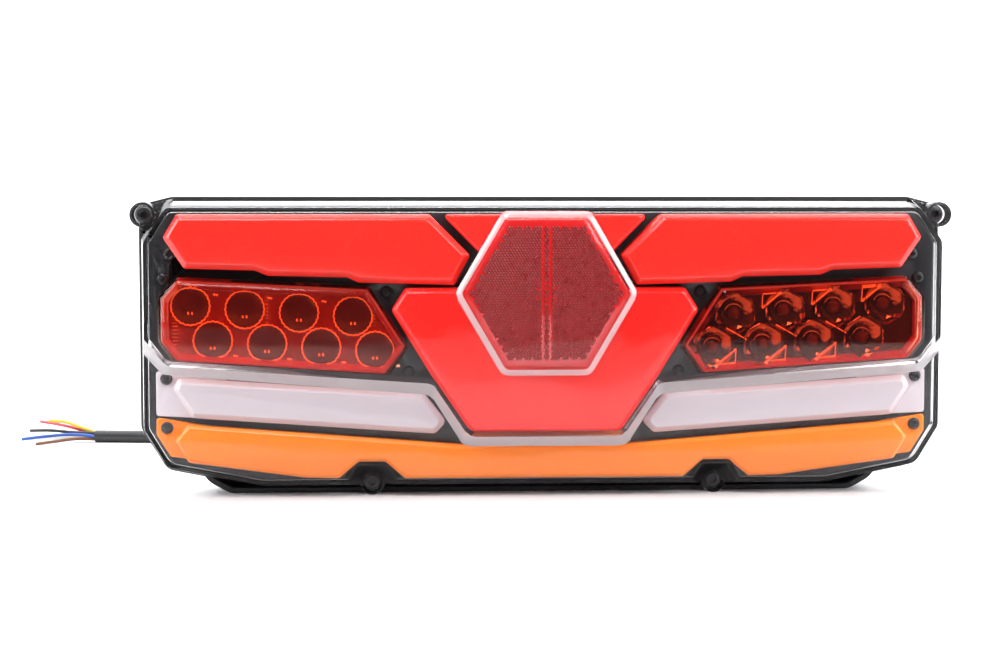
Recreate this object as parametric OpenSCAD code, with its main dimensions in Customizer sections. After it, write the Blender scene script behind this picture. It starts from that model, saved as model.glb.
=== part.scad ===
// Trailer tail light: a sealed LED rear lamp standing on its lower edge.
// X runs along the lamp, Z is up, and the lens faces -Y. Millimetres throughout.
// The origin is at the middle of the lamp's box, at the bottom.

/* [Lamp] */
// Width of the mounting flange
body_w = 383.2; // [380:0.2:470]
// Height of the flange's upper edge above the surface the lamp stands on
body_h = 142; // [140:0.5:175]
// Depth from the front of the reflector window to the back of the housing
body_d = 56; // [54:0.5:70]

/* [Lens] */
// Thickness of the clear lens
lens_wall = 2.2; // [1.6:0.1:2.8]
// How far the upper block stands behind the reflector window
block_step = 3; // [2.5:0.1:4]
// How far the lower face stands behind the reflector window
area_step = 10; // [9:0.5:11]
// Depth at which the lens's flange starts
lens_flange_d = 25; // [24:0.5:28]
// Thickness of the lens's flange
lens_flange_t = 3; // [2.4:0.1:4]
// How much the dome narrows from its flange to its face
dome_draft = 3.6; // [2:0.1:4]
// How far the dome stands in from the housing's edge
dome_inset = 1.5; // [1:0.1:2.5]

/* [Reflector window] */
// Half width of the raised hexagon
hex_half_w = 42.9; // [41:0.1:45]
// Half height of the raised hexagon
hex_half_h = 38.2; // [37:0.1:40]
// Width of the hexagon's sloping rim
hex_rim = 2.5; // [2:0.1:3]
// Distance of the hexagon's centre below the upper edge
hex_drop = 45; // [44:0.5:47]
// Thickness of the reflex reflector
reflector_t = 3; // [2:0.1:3.2]

/* [Diffusers] */
// Wall of the opal mouldings
diffuser_wall = 1.8; // [1.4:0.1:2.4]
// Width of the bevel round the tail strips
tail_bevel = 2.7; // [2:0.1:3.2]
// Width of the bevel round the LED covers
cover_bevel = 3.6; // [3:0.1:4]
// Gap between the lens and what stands behind it
lens_gap = 1; // [0.8:0.1:1.4]

/* [LEDs] */
// Pitch of the LED optics along a row
led_pitch = 25.2; // [24.5:0.1:26]
// Radius of one LED optic
led_r = 9.4; // [8.5:0.1:9.5]
// LEDs in each row of a module
led_per_row = 4; // [3:1:4]
// Thickness of the circuit boards
board_t = 1.6; // [1:0.1:2]

/* [Fasteners] */
// Radius of a lens screw's shank
screw_r = 2; // [1.6:0.1:2.4]
// Radius of a lens screw's head
screw_head_r = 4.35; // [3.6:0.05:4.6]
// Radius of a small screw's head
small_head_r = 2.85; // [2.4:0.05:3]
// Radius of a small screw's shank
small_r = 1.3; // [1:0.1:1.5]
// Radius of the mounting studs, M8
stud_r = 4; // [3:0.5:5]
// Distance between the two mounting studs
stud_spacing = 152; // [140:1:170]
// How far the studs stand out of the housing
stud_out = 28; // [26:1:36]

/* [Housing] */
// Wall of the housing
housing_wall = 2.5; // [2:0.1:3.2]
// Thickness of the housing's flange
flange_t = 3; // [2.4:0.1:4]
// Thickness of the lens gasket
gasket_t = 1; // [0.6:0.1:1.6]
// Thickness of the carrier plate
carrier_t = 2.5; // [2:0.1:3]

/* [Cable] */
// Outer diameter of the cable
cable_d = 7; // [6:0.5:8]
// Outer diameter of one core
core_d = 1.9; // [1.5:0.1:2]
// Radius of the gland's thread through the housing
gland_r = 7.5; // [7:0.5:9]

/* [Hidden] */
$fn = 48;

// ---- Places along the depth, measured back from the front of the reflector window ----
total_d = body_d + stud_out;
half_w = body_w / 2;
block_back = block_step + lens_wall;
area_back = area_step + lens_wall;
lens_flange_back = lens_flange_d + lens_flange_t;
flange_front = lens_flange_back + gasket_t;
flange_back = flange_front + flange_t;
carrier_back_gap = 6.5;
carrier_back = flange_front - carrier_back_gap;
carrier_front = carrier_back - carrier_t;
back_t = housing_wall + 0.5;
back_inside = body_d - back_t;
reflector_front = lens_wall + 0.4;
reflector_back = reflector_front + reflector_t;
backing_t = 0.8;
stop_front = reflector_back + backing_t + 0.5;
tail_front = block_back + lens_gap;
cover_front = block_back + lens_gap + 2.6;
lower_front = area_back + lens_gap;
board_front = carrier_front - 0.2 - board_t;
chip_t = 1.2;
fit_gap = 0.2;
thread_gap = 0.03;
small_head_t = 1.6;
flange_skin = 1.5;

// ---- Outlines: each is a list of [x, z] corners, anticlockwise as seen from the front ----

// A place measured in from the flange's side, and one measured down from its upper edge
function out(v) = half_w - v;
function drop(v) = body_h - v;
function flip(pts) = [for (i = [len(pts) - 1:-1:0]) [-pts[i].x, pts[i].y]];
function closed(half) = concat(half, flip(half));
function edge_dir(p, i) = let (v = p[(i + 1) % len(p)] - p[i]) v / norm(v);
function left_of(d) = [-d.y, d.x];
function width_at(b, i) = is_list(b) ? b[i] : b;

// Moves one corner so that its two edges go in by b0 and b1
function corner_shift(n0, n1, b0, b1) =
    let (c = n0 * n1)
    abs(c) > 0.9999 ? n0 * b0 : (b0 * (n0 - c * n1) + b1 * (n1 - c * n0)) / (1 - c * c);

// Moves each edge of an outline in by b, a number or one width for each edge
function inset(p, b) = [
    for (i = [0:len(p) - 1])
        let (j = (i + len(p) - 1) % len(p))
        p[i] + corner_shift(left_of(edge_dir(p, j)), left_of(edge_dir(p, i)), width_at(b, j), width_at(b, i))
];

// Rounds each corner of an outline by radius r, with a point for each 18 degrees or less. A corner
// that turns by less than 8 degrees stays sharp. With a count, every rounded corner gets that many steps,
// so that outlines of different slopes keep the same number of points.
function corner_turn(d0, d1) = atan2(d0.x * d1.y - d0.y * d1.x, d0 * d1);
function corner_arc(p, i, r, count) =
    let (
        j = (i + len(p) - 1) % len(p),
        d0 = edge_dir(p, j),
        d1 = edge_dir(p, i),
        turn = corner_turn(d0, d1),
        n = count > 0 ? count : ceil(abs(turn) / 18),
        room = 0.45 * min(norm(p[i] - p[j]), norm(p[(i + 1) % len(p)] - p[i])),
        t = min(r * tan(abs(turn) / 2), room),
        rr = t / tan(abs(turn) / 2),
        centre = p[i] - d0 * t + left_of(d0) * sign(turn) * rr,
        arm = -left_of(d0) * sign(turn) * rr
    )
    r <= 0 || (count == 0 && abs(turn) < 8) ? [p[i]] :
    [for (k = [0:n]) let (a = turn * k / n) centre + [arm.x * cos(a) - arm.y * sin(a), arm.x * sin(a) + arm.y * cos(a)]];
function rounded(p, r, count = 0) = [for (i = [0:len(p) - 1]) each corner_arc(p, i, width_at(r, i), count)];

// Flange of the housing, without its screw lobes
top_corner_x = 15.6;
flange_half = [
    [out(57.9), 3], [out(12.3), 12], [half_w, 32], [half_w, drop(7)], [out(5.2), drop(2.6)], [out(top_corner_x), body_h]
];
flange_outline = rounded(closed(flange_half), [6, 7, 4, 3, 3, 8, 8, 3, 3, 4, 7, 6]);

// Foot of the lens's dome, whose upper corners are cut off in front of the screw wells
dome_half = [
    [out(57.7), 3 + dome_inset], [out(13), 13.2], [out(dome_inset), 32.3],
    [out(dome_inset), drop(20)], [out(13.6), drop(dome_inset)]
];
dome_corners = closed(dome_half);
dome_rounding = [6, 7, 4, 4, 4, 4, 4, 4, 7, 6];
function dome(b) = rounded(inset(dome_corners, b), dome_rounding);

// The step between the upper block and the lower face, at its front and at its foot
step_low = 24.8;
step_foot = [
    [38.6, step_low], [54.1, 49.2], [out(12.6), 59.4], [out(0.6), 73], [half_w + 20, 73]
];
step_crest = [
    [36, step_low + 4.8], [53, 54.7], [out(15.7), 63.2], [out(3.7), 78], [half_w + 20, 78]
];
function below_step(line, lift) = rounded(
    concat([[0, -30], [half_w + 20, -30]], [for (i = [len(line) - 1:-1:0]) line[i] + [0, lift]], [[0, line[0].y + lift]]),
    [0, 0, 0, 3, 4, 5, 6, 0], 2);

// Raised hexagon round the reflector
hex_z = body_h - hex_drop;
hex_top = 20.6;
function hexagon(hw, hh, ht) = [[hw, 0], [ht, hh], [-ht, hh], [-hw, 0], [-ht, -hh], [ht, -hh]];
function placed(p, z) = [for (q = p) [q.x, q.y + z]];
hex_corners = placed(hexagon(hex_half_w, hex_half_h, hex_top), hex_z);
function hex_ring(b) = rounded(inset(hex_corners, b), 5 - b / 2);

// Lens screws: two in the upper corners and two in pockets of the lower edge
corner_screw = [out(3.4), drop(8.5)];
pocket_screw = [81.7, 6.4];
corner_boss_r = 6.2;
pocket_boss_r = 6.4;
well_r = screw_head_r + 0.25;
screw_places = [for (s = [-1, 1], p = [corner_screw, pocket_screw]) [s * p.x, p.y]];
pocket_half_w = 13.8;
pocket_top_w = 4.6;
pocket_top = 13.6;
function pocket(s, b) = rounded([
    [s * pocket_screw.x - pocket_half_w - b, -10], [s * pocket_screw.x + pocket_half_w + b, -10],
    [s * pocket_screw.x + pocket_half_w + b, 2], [s * pocket_screw.x + pocket_top_w + b, pocket_top + b],
    [s * pocket_screw.x - pocket_top_w - b, pocket_top + b], [s * pocket_screw.x - pocket_half_w - b, 2]
], [0, 0, 3, 3, 3, 3]);

// Inner mouldings, right-hand halves
tail_z = drop(8.2);
tail_half = [
    [42.7, drop(41.3)], [87.7, drop(40)], [92.7, drop(37.6)], [out(61.9), drop(36.8)], [out(56.1), drop(34.4)],
    [out(23.2), drop(33.4)], [out(13.6), drop(19)], [out(20.1), tail_z], [54.5, tail_z], [35.3, tail_z - 19.2]
];
centre_top_half = [[22, tail_z - 30], [30, tail_z - 19.4], [48.7, tail_z]];
stop_half = [[34.9, step_low + 5.6], [52.4, 56], [72.4, drop(53)], [65.8, drop(42.6)]];
// The LED cover's inner corner keeps its distance from the stop light's side
stop_gap = 2.5;
function stop_side(z) = stop_half[1].x + (stop_half[2].x - stop_half[1].x) * (z - stop_half[1].y) / (stop_half[2].y - stop_half[1].y);
cover_half = [
    [73.7, 57.3], [out(17.7), 64.1], [out(10.8), 74], [out(10.8), drop(47)], [out(19), drop(37.5)],
    [82.6, drop(41.8)], [stop_side(drop(70.8)) + stop_gap, drop(70.8)]
];
reverse_half = [
    [51.8, 30.1], [out(25.4), 38.2], [out(16.9), 51.9], [out(19.3), 57.2], [57.1, 49.6], [46.3, 35.9]
];
reverse_base = [[150, 37.4], [out(8.7), 38.9], [out(8.7), 60.2], [150, 57]];
indicator_notch = 15.6;
indicator_half = [
    [pocket_screw.x - indicator_notch, 9], [pocket_screw.x - 6.2, 17.1], [pocket_screw.x + 6.2, 17.1],
    [pocket_screw.x + indicator_notch, 9.2], [out(79.3), 9.6], [out(24.1), 17.1], [out(17.7), 27.7], [out(23.9), 35.1], [40, 25]
];
indicator_corners = closed(indicator_half);
indicator_base = [[150, 16], [out(15.3), 19.5], [out(8.7), 30], [out(8.7), 38.2], [150, 33]];

// Small screws: the long ones hold the carrier, the others the mouldings
carrier_screw_places = [[74.7, drop(44.9)], [64.2, 59.2]];
module_screw_places = [[out(15.5), drop(27.2)], [out(12.4), drop(38.7)], [out(13.5), 56.5], [out(13.7), 33.3]];

// LED places in a module, counted from its outer end
led_slope = 0.065;
led_rows = [[out(25.7), 91], [out(36), 74.7]];
led_places = [
    for (row = led_rows, k = [0:led_per_row - 1])
        [row.x - k * led_pitch, row.y + drop(142) - k * led_pitch * led_slope]
];

// ---- Solids along the depth ----
function y(d) = d - total_d / 2;
module slab(outline, d0, d1) {
    translate([0, y(d1), 0]) rotate([90, 0, 0]) linear_extrude(d1 - d0) polygon(outline);
}
module disc(place, r, d0, d1, sides = $fn) {
    translate([place.x, y(d1), place.y]) rotate([90, 0, 0]) cylinder(h = d1 - d0, r = r, $fn = sides);
}
module both() {
    children();
    mirror([1, 0, 0]) children();
}
module side(s) {
    if (s > 0) children();
    else mirror([1, 0, 0]) children();
}

// Cuts an outline into triangles, one corner at a time: left holds the corners that are still to be cut
function side_of(a, b, c) = (b.x - a.x) * (c.y - a.y) - (b.y - a.y) * (c.x - a.x);
function holds(a, b, c, q) = side_of(a, b, q) >= 0 && side_of(b, c, q) >= 0 && side_of(c, a, q) >= 0;
function corner_at(left, k) = [left[(k + len(left) - 1) % len(left)], left[k], left[(k + 1) % len(left)]];
function can_cut(p, left, t) =
    side_of(p[t[0]], p[t[1]], p[t[2]]) > 0 &&
    len([for (m = left) if (m != t[0] && m != t[1] && m != t[2] && holds(p[t[0]], p[t[1]], p[t[2]], p[m])) m]) == 0;
function first_cut(p, left, k) =
    k >= len(left) ? 0 :
    can_cut(p, left, corner_at(left, k)) ? k : first_cut(p, left, k + 1);
function triangles(p, left, found = [], start = 0) =
    len(left) == 3 ? concat(found, [left]) :
    let (
        turned = [for (i = [0:len(left) - 1]) left[(i + start) % len(left)]],
        k = first_cut(p, turned, 0)
    )
    triangles(
        p, [for (i = [0:len(turned) - 1]) if (i != k) turned[i]], concat(found, [corner_at(turned, k)]), k + 1);

// A closed solid through rings of the same number of points, one for each depth. Ends with notches are
// cut into triangles first.
module stack(rings, depths, notched = false) {
    n = len(rings[0]);
    m = len(rings);
    points = [for (k = [0:m - 1], q = rings[k]) [q.x, y(depths[k]), q.y]];
    order = [for (i = [0:n - 1]) i];
    front = [for (t = notched ? triangles(rings[0], order) : [order]) [for (i = [len(t) - 1:-1:0]) t[i]]];
    back = [for (t = notched ? triangles(rings[m - 1], order) : [order]) [for (i = t) (m - 1) * n + i]];
    walls = [for (k = [0:m - 2], i = [0:n - 1]) let (j = (i + 1) % n) [k * n + i, k * n + j, (k + 1) * n + j, (k + 1) * n + i]];
    polyhedron(points, concat(front, walls, back), convexity = 8);
}

// A hollow moulding with a bevelled face, open at the back: its skin runs from the face back along the
// outside, then forward again along the inside
module moulding(corners, bevel, radius, front, back) {
    deep = bevel_depth(bevel);
    inner = inset(corners, diffuser_wall);
    outside = [inset(corners, bevel), corners, corners];
    inside = [inner, inner, inset(inner, bevel)];
    stack(
        [for (p = concat(outside, inside)) rounded(p, radius)],
        [front, front + deep, back, back, front + diffuser_wall + deep, front + diffuser_wall], true);
}
function bevel_depth(b) = min(b, 3);

// ---- Lens, gasket and housing ----
// A round ear that runs into the flange's edge
module lobe(p, r, inward, d0, d1) {
    hull() {
        disc(p, r, d0, d1, 40);
        disc(p + inward, r - 1, d0, d1, 40);
    }
}
module lobes(d0, d1, grow = 0) {
    for (s = [-1, 1]) {
        lobe([s * corner_screw.x, corner_screw.y], corner_boss_r + grow, [-s * 4, -4], d0, d1);
        lobe([s * pocket_screw.x, pocket_screw.y], pocket_boss_r + grow, [0, 4], d0, d1);
    }
}
// A screw boss of the lens, with draft
module boss(p, r, height) {
    draft = 0.3;
    hull() {
        disc(p, r - draft, lens_flange_d - height, lens_flange_d - height + 0.5, 40);
        disc(p, r, lens_flange_d - 0.5, lens_flange_d + 0.5, 40);
    }
}
module dome_solid(b, face, low_face, foot) {
    crest_shift = b * 1.3;
    difference() {
        stack([dome(dome_draft + b), dome(b), dome(b)], [face, lens_flange_d, foot]);
        both() stack(
            [below_step(step_crest, crest_shift), below_step(step_crest, crest_shift), below_step(step_foot, crest_shift)],
            [-10, face, low_face]);
        for (s = [-1, 1]) slab(pocket(s, b), -10, b > 0 ? foot + 1 : lens_flange_d);
    }
    stack([hex_ring(hex_rim + b), hex_ring(b), hex_ring(b)], [b, b + 2.2, face + 0.5]);
}
module outer_lens() {
    color([0.86, 0.86, 0.9, 0.35])
    difference() {
        union() {
            dome_solid(0, block_step, area_step, lens_flange_back);
            slab(rounded(inset(closed(flange_half), flange_skin), 3), lens_flange_d, lens_flange_back);
            lobes(lens_flange_d, lens_flange_back);
            for (s = [-1, 1]) {
                boss([s * corner_screw.x, corner_screw.y], corner_boss_r, 10);
                boss([s * pocket_screw.x, pocket_screw.y], pocket_boss_r, 4);
            }
        }
        dome_solid(lens_wall, block_back, area_back, lens_flange_back + 1);
        for (p = screw_places) {
            disc(p, well_r, -1, lens_flange_d);
            disc(p, screw_r + fit_gap, lens_flange_d - 1, lens_flange_back + 1);
        }
    }
}
gasket_w = 3.2;
module lens_gasket() {
    color([0.08, 0.08, 0.08])
    difference() {
        union() {
            slab(dome(0), lens_flange_back, flange_front);
            lobes(lens_flange_back, flange_front, -0.6);
        }
        difference() {
            slab(dome(gasket_w), lens_flange_back - 1, flange_front + 1);
            for (s = [-1, 1]) slab(pocket(s, gasket_w), lens_flange_back - 1, flange_front + 1);
        }
        for (p = screw_places) disc(p, screw_r + fit_gap, lens_flange_back - 1, flange_front + 1);
    }
}
module lens_screws() {
    head_t = 3;
    recess_r = 1.9;
    color([0.1, 0.1, 0.11])
    for (p = screw_places) difference() {
        union() {
            disc(p, screw_head_r - 0.01, lens_flange_d - 0.5, lens_flange_d);
            disc(p, screw_head_r - 0.6, lens_flange_d - head_t, lens_flange_d - 0.5);
            disc(p, screw_r, lens_flange_d - 0.5, flange_back + 10);
        }
        disc(p, recess_r, lens_flange_d - head_t - 1, lens_flange_d - head_t + 1.8, 6);
    }
}

// Rear body behind the flange
body_bottom_half = 150;
body_half = [
    [body_bottom_half, 0], [out(30.6), 6], [out(19.6), 32], [out(19.6), drop(18)], [out(30.6), drop(6)]
];
body_corners = closed(body_half);
body_rounding = [8, 10, 8, 8, 6, 6, 8, 8, 10, 8];
// The lower edge has no draft, because the lamp stands on it
function body_draft(b) = [for (i = [0:len(body_corners) - 1]) i == len(body_corners) - 1 ? 0 : b];
function body_ring(b) = rounded(inset(body_corners, b), body_rounding);
function drafted(wall, b) = rounded(inset(inset(body_corners, wall), body_draft(b)), body_rounding);

post_r = 4;
stud_z = 71;
stud_places = [[-stud_spacing / 2, stud_z], [stud_spacing / 2, stud_z]];
stud_head_r = 7;
stud_head_t = 4.5;
gland_place = [-60, 30];
vent_place = [104, 34];
vent_r = 3;
vent_flange_r = vent_r + 3.5;
// Round seats cut in the back face, which leave a flat face for what the lamp is bolted to
seat_depth = 0.8;
seat_d = body_d - seat_depth;
seat_gap = 1.2;
stud_collar_r = stud_r + 0.6;
board_size = [104, 56];
board_place = [0, 88];
board_front_d = back_inside - 18;
board_posts = [for (i = [-1, 1], j = [-1, 1]) board_place + [i * (board_size.x / 2 - 5), j * (board_size.y / 2 - 5)]];

module housing() {
    color([0.07, 0.07, 0.075])
    difference() {
        union() {
            difference() {
                union() {
                    slab(flange_outline, flange_front, flange_back);
                    lobes(flange_front, flange_back);
                    stack([body_ring(0), drafted(0, 2.4)], [flange_back - 0.5, body_d]);
                }
                stack([drafted(housing_wall, 0), drafted(housing_wall, 2.2)], [flange_front - 1, back_inside]);
            }
            for (p = carrier_screw_places, s = [-1, 1]) disc([s * p.x, p.y], post_r, carrier_back, back_inside + 0.5);
            for (p = board_posts) disc(p, post_r - 0.8, board_front_d + board_t, back_inside + 0.5);
            for (p = stud_places) disc(p, stud_head_r + 2.5, back_inside - stud_head_t - 0.8, back_inside + 0.5);
            for (p = screw_places) disc(p, 4.6, flange_back - 0.5, flange_back + 12);
        }
        for (p = screw_places) disc(p, screw_r + thread_gap, flange_front - 1, flange_back + 11);
        for (p = carrier_screw_places, s = [-1, 1])
            disc([s * p.x, p.y], small_r + thread_gap, carrier_back - 1, carrier_back + 12);
        for (p = board_posts) disc(p, small_r + thread_gap, board_front_d, board_front_d + board_t + 9);
        for (p = stud_places) {
            disc(p, stud_head_r + 0.1, back_inside - stud_head_t - 2, back_inside, 6);
            disc(p, stud_collar_r + 0.1, back_inside - 1, body_d + 1);
        }
        disc(gland_place, gland_r + fit_gap, back_inside - 1, body_d + 1);
        disc(gland_place, gland_hex_r + seat_gap, seat_d, body_d + 1);
        disc(vent_place, vent_r + fit_gap, back_inside - 1, body_d + 1);
        disc(vent_place, vent_flange_r + seat_gap, seat_d, body_d + 1);
    }
}
module mounting_studs() {
    color([0.75, 0.76, 0.78])
    for (p = stud_places) union() {
        disc(p, stud_head_r, back_inside - stud_head_t, back_inside, 6);
        disc(p, stud_collar_r, back_inside - 0.5, body_d);
        disc(p, stud_r, body_d - 0.5, total_d - 0.8);
        disc(p, stud_r - 0.7, total_d - 1, total_d);
    }
}
module vent_plug() {
    color([0.16, 0.16, 0.17])
    union() {
        disc(vent_place, vent_r, back_inside, seat_d + 0.5);
        disc(vent_place, vent_flange_r, seat_d, seat_d + 2.6);
    }
}

// ---- Carrier plate, with a skirt that stands on the housing's flange ----
carrier_inset = lens_wall + 0.8 + dome_draft * (lens_flange_d - carrier_front) / (lens_flange_d - block_step);
module carrier() {
    skirt = 2;
    sleeve_r = 2.6;
    pocket_gap = gasket_w + 0.4;
    color([0.05, 0.05, 0.055])
    difference() {
        union() {
            difference() {
                slab(dome(carrier_inset), carrier_front, flange_front);
                difference() {
                    slab(dome(carrier_inset + skirt), carrier_back, flange_front + 1);
                    for (s = [-1, 1]) slab(pocket(s, pocket_gap + skirt), carrier_back, flange_front + 1);
                }
            }
            for (p = module_screw_places, s = [-1, 1]) disc([s * p.x, p.y], sleeve_r, carrier_back - 0.5, flange_front - 0.6);
        }
        for (s = [-1, 1]) slab(pocket(s, pocket_gap), carrier_front - 1, flange_front + 1);
        for (p = concat(carrier_screw_places, module_screw_places), s = [-1, 1])
            disc([s * p.x, p.y], small_r + thread_gap, carrier_front - 1, flange_front + 1);
    }
}
module small_screw(p, seat, tip) {
    difference() {
        union() {
            disc(p, small_head_r, seat - small_head_t, seat);
            disc(p, small_r, seat - 0.5, tip);
        }
        disc(p, 1.1, seat - small_head_t - 1, seat - small_head_t + 1, 6);
    }
}
module carrier_screws() {
    color([0.09, 0.09, 0.1])
    for (p = carrier_screw_places, s = [-1, 1]) small_screw([s * p.x, p.y], carrier_front, carrier_back + 10);
}
module module_screws() {
    color([0.09, 0.09, 0.1])
    for (p = module_screw_places, s = [-1, 1])
        small_screw([s * p.x, p.y], p.y < 60 ? carrier_front - lower_base_t : carrier_front, flange_front - 1);
}

// ---- Red mouldings ----
module tail_diffuser() {
    moulding(tail_half, tail_bevel, 2, tail_front, carrier_front);
}
module tail_diffuser_left() { color([0.93, 0.12, 0.1]) side(-1) tail_diffuser(); }
module tail_diffuser_right() { color([0.93, 0.12, 0.1]) side(1) tail_diffuser(); }
module centre_top_diffuser() {
    color([0.9, 0.1, 0.08]) moulding(closed(centre_top_half), 1, 1.5, tail_front + 3, carrier_front);
}
module stop_diffuser() {
    color([0.95, 0.08, 0.06]) moulding(stop_corners, 2.4, 2.5, stop_front, carrier_front);
}
stop_waist = [22, drop(60)];
stop_corners = closed(concat(stop_half, [[40, drop(42.6)], stop_waist]));

// ---- Reflex reflector behind the lens's window ----
reflector_gap = 0.25;
reflector_corners = inset(hex_corners, hex_rim + lens_wall + reflector_gap);
module reflex_reflector() {
    color([0.55, 0.03, 0.04]) slab(rounded(reflector_corners, 3), reflector_front, reflector_back);
}
module reflector_backing() {
    color([0.3, 0.02, 0.02]) slab(rounded(reflector_corners, 3), reflector_back, reflector_back + backing_t);
}

// ---- LED modules: a clear red cover, optics, LEDs and a board ----
optics_front = cover_front + diffuser_wall + 1.8;
chip_front = board_front - chip_t;
module led_cover() { moulding(cover_half, cover_bevel, 3, cover_front, carrier_front); }
module led_cover_left() { color([0.5, 0.02, 0.04, 0.8]) side(-1) led_cover(); }
module led_cover_right() { color([0.5, 0.02, 0.04, 0.8]) side(1) led_cover(); }
module led_optics_left() {
    stem_r = 6;
    base_t = 1;
    color([0.7, 0.05, 0.05, 0.7]) side(-1) difference() {
        union() {
            slab(rounded(inset(cover_half, diffuser_wall + 0.5), 3), chip_front - base_t - 0.4, chip_front - 0.4);
            for (p = led_places) translate([p.x, y(chip_front - base_t), p.y]) rotate([90, 0, 0])
                cylinder(h = chip_front - base_t - optics_front, r1 = stem_r, r2 = led_r);
        }
        for (p = led_places) disc(p, 3.4, chip_front - 2.4, chip_front + 1);
    }
}
module led_cups_right() {
    cup_r = led_r - 0.4;
    color([0.8, 0.25, 0.15]) side(1) difference() {
        slab(rounded(inset(cover_half, diffuser_wall + 0.8), 3), optics_front + 1.4, chip_front);
        for (p = led_places) translate([p.x, y(chip_front + 0.01), p.y]) rotate([90, 0, 0])
            cylinder(h = chip_front - optics_front, r1 = 3.4, r2 = cup_r);
        for (p = led_places) disc(p, 3.4, chip_front - 1, chip_front + 1);
    }
}
module led_board() {
    slab(rounded(inset(cover_half, diffuser_wall + 0.3), 2), board_front, board_front + board_t);
}
module led_board_left() { color([0.1, 0.3, 0.16]) side(-1) led_board(); }
module led_board_right() { color([0.1, 0.3, 0.16]) side(1) led_board(); }
module chip(p, size = 3.2) {
    translate([p.x - size / 2, y(board_front - chip_t), p.y - size / 2]) cube([size, chip_t, size]);
}
module led_chips_left() { color([0.9, 0.85, 0.4]) side(-1) for (p = led_places) chip(p); }
module led_chips_right() { color([0.9, 0.85, 0.4]) side(1) for (p = led_places) chip(p); }

// ---- Boards and LEDs of the tail, stop, reverse and indicator lights ----
module lamp_board(corners) {
    slab(rounded(inset(corners, diffuser_wall + 0.6), 1), board_front, board_front + board_t);
}
tail_leds_n = 6;
tail_led_pitch = 18;
module tail_board_left() { color([0.1, 0.3, 0.16]) side(-1) lamp_board(tail_half); }
module tail_board_right() { color([0.1, 0.3, 0.16]) side(1) lamp_board(tail_half); }
module tail_leds() {
    color([0.9, 0.85, 0.4]) both() for (k = [0:tail_leds_n - 1]) chip([62 + k * tail_led_pitch, drop(21)], 3);
}
module stop_board() {
    color([0.1, 0.3, 0.16]) lamp_board(stop_corners);
}
module stop_leds() {
    color([0.9, 0.85, 0.4]) both() {
        for (k = [0:1]) chip([8 + k * 14, step_low + 16], 3);
        chip([34, 56], 3);
        chip([48, 72], 3);
        chip([57, drop(51)], 3);
    }
}
lower_base_t = 1.6;
reverse_bevel = 2.6;
module reverse_diffuser() {
    union() {
        moulding(reverse_half, reverse_bevel, 3, lower_front, carrier_front);
        difference() {
            slab(rounded(reverse_base, 1.5), carrier_front - lower_base_t, carrier_front);
            slab(rounded(inset(reverse_half, 0.5), 3), carrier_front - lower_base_t - 1, carrier_front + 1);
            disc(module_screw_places[2], small_r + fit_gap, carrier_front - lower_base_t - 1, carrier_front + 1);
        }
    }
}
module reverse_diffuser_left() { color([0.84, 0.8, 0.82]) side(-1) reverse_diffuser(); }
module reverse_diffuser_right() { color([0.84, 0.8, 0.82]) side(1) reverse_diffuser(); }
module reverse_board_left() { color([0.1, 0.3, 0.16]) side(-1) lamp_board(reverse_half); }
module reverse_board_right() { color([0.1, 0.3, 0.16]) side(1) lamp_board(reverse_half); }
module reverse_leds() {
    color([0.95, 0.9, 0.6]) both() for (k = [0:4]) chip([66 + k * 20, 40.5 + k * 1.3], 3);
}
indicator_bevel = 1.6;
module indicator_diffuser() {
    color([1, 0.55, 0.1]) union() {
        moulding(indicator_corners, indicator_bevel, 2, lower_front, carrier_front);
        both() difference() {
            slab(rounded(indicator_base, 1.5), carrier_front - lower_base_t, carrier_front);
            slab(rounded(inset(indicator_corners, 0.5), 2), carrier_front - lower_base_t - 1, carrier_front + 1);
            disc(module_screw_places[3], small_r + fit_gap, carrier_front - lower_base_t - 1, carrier_front + 1);
        }
    }
}
module indicator_board() {
    color([0.1, 0.3, 0.16]) lamp_board(indicator_corners);
}
module indicator_leds() {
    color([0.95, 0.75, 0.3]) both() for (k = [0:2], x = [12, 100]) chip([x + k * 22, 15.5 + (x + k * 22) * 0.055], 3);
}

// ---- Driver board inside the housing ----
module board_slab(place, size, d0, d1) {
    translate([place.x - size.x / 2, y(d0), place.y - size.y / 2]) cube([size.x, d1 - d0, size.y]);
}
module control_board() {
    color([0.12, 0.34, 0.2]) difference() {
        board_slab(board_place, board_size, board_front_d, board_front_d + board_t);
        for (p = board_posts) disc(p, small_r + fit_gap, board_front_d - 1, board_front_d + board_t + 1);
    }
}
module board_screws() {
    color([0.7, 0.7, 0.72]) for (p = board_posts) small_screw(p, board_front_d, board_front_d + board_t + 8);
}
parts_d = board_front_d + board_t;
module board_coils() {
    color([0.25, 0.25, 0.27]) for (k = [-1:1]) board_slab(board_place + [k * 24, 10], [12, 12], parts_d, parts_d + 6);
}
module board_capacitors() {
    color([0.5, 0.5, 0.55]) for (k = [-1, 1]) disc(board_place + [k * 14, -10], 4, parts_d, parts_d + 10);
}
header_place = board_place + [-34, -14];
module board_header() {
    color([0.9, 0.9, 0.85]) board_slab(header_place, [16, 6], parts_d, parts_d + 4);
}
module header_plug() {
    color([0.85, 0.85, 0.8]) board_slab(header_place, [15, 5.4], parts_d + 4, parts_d + 8);
}

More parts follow.
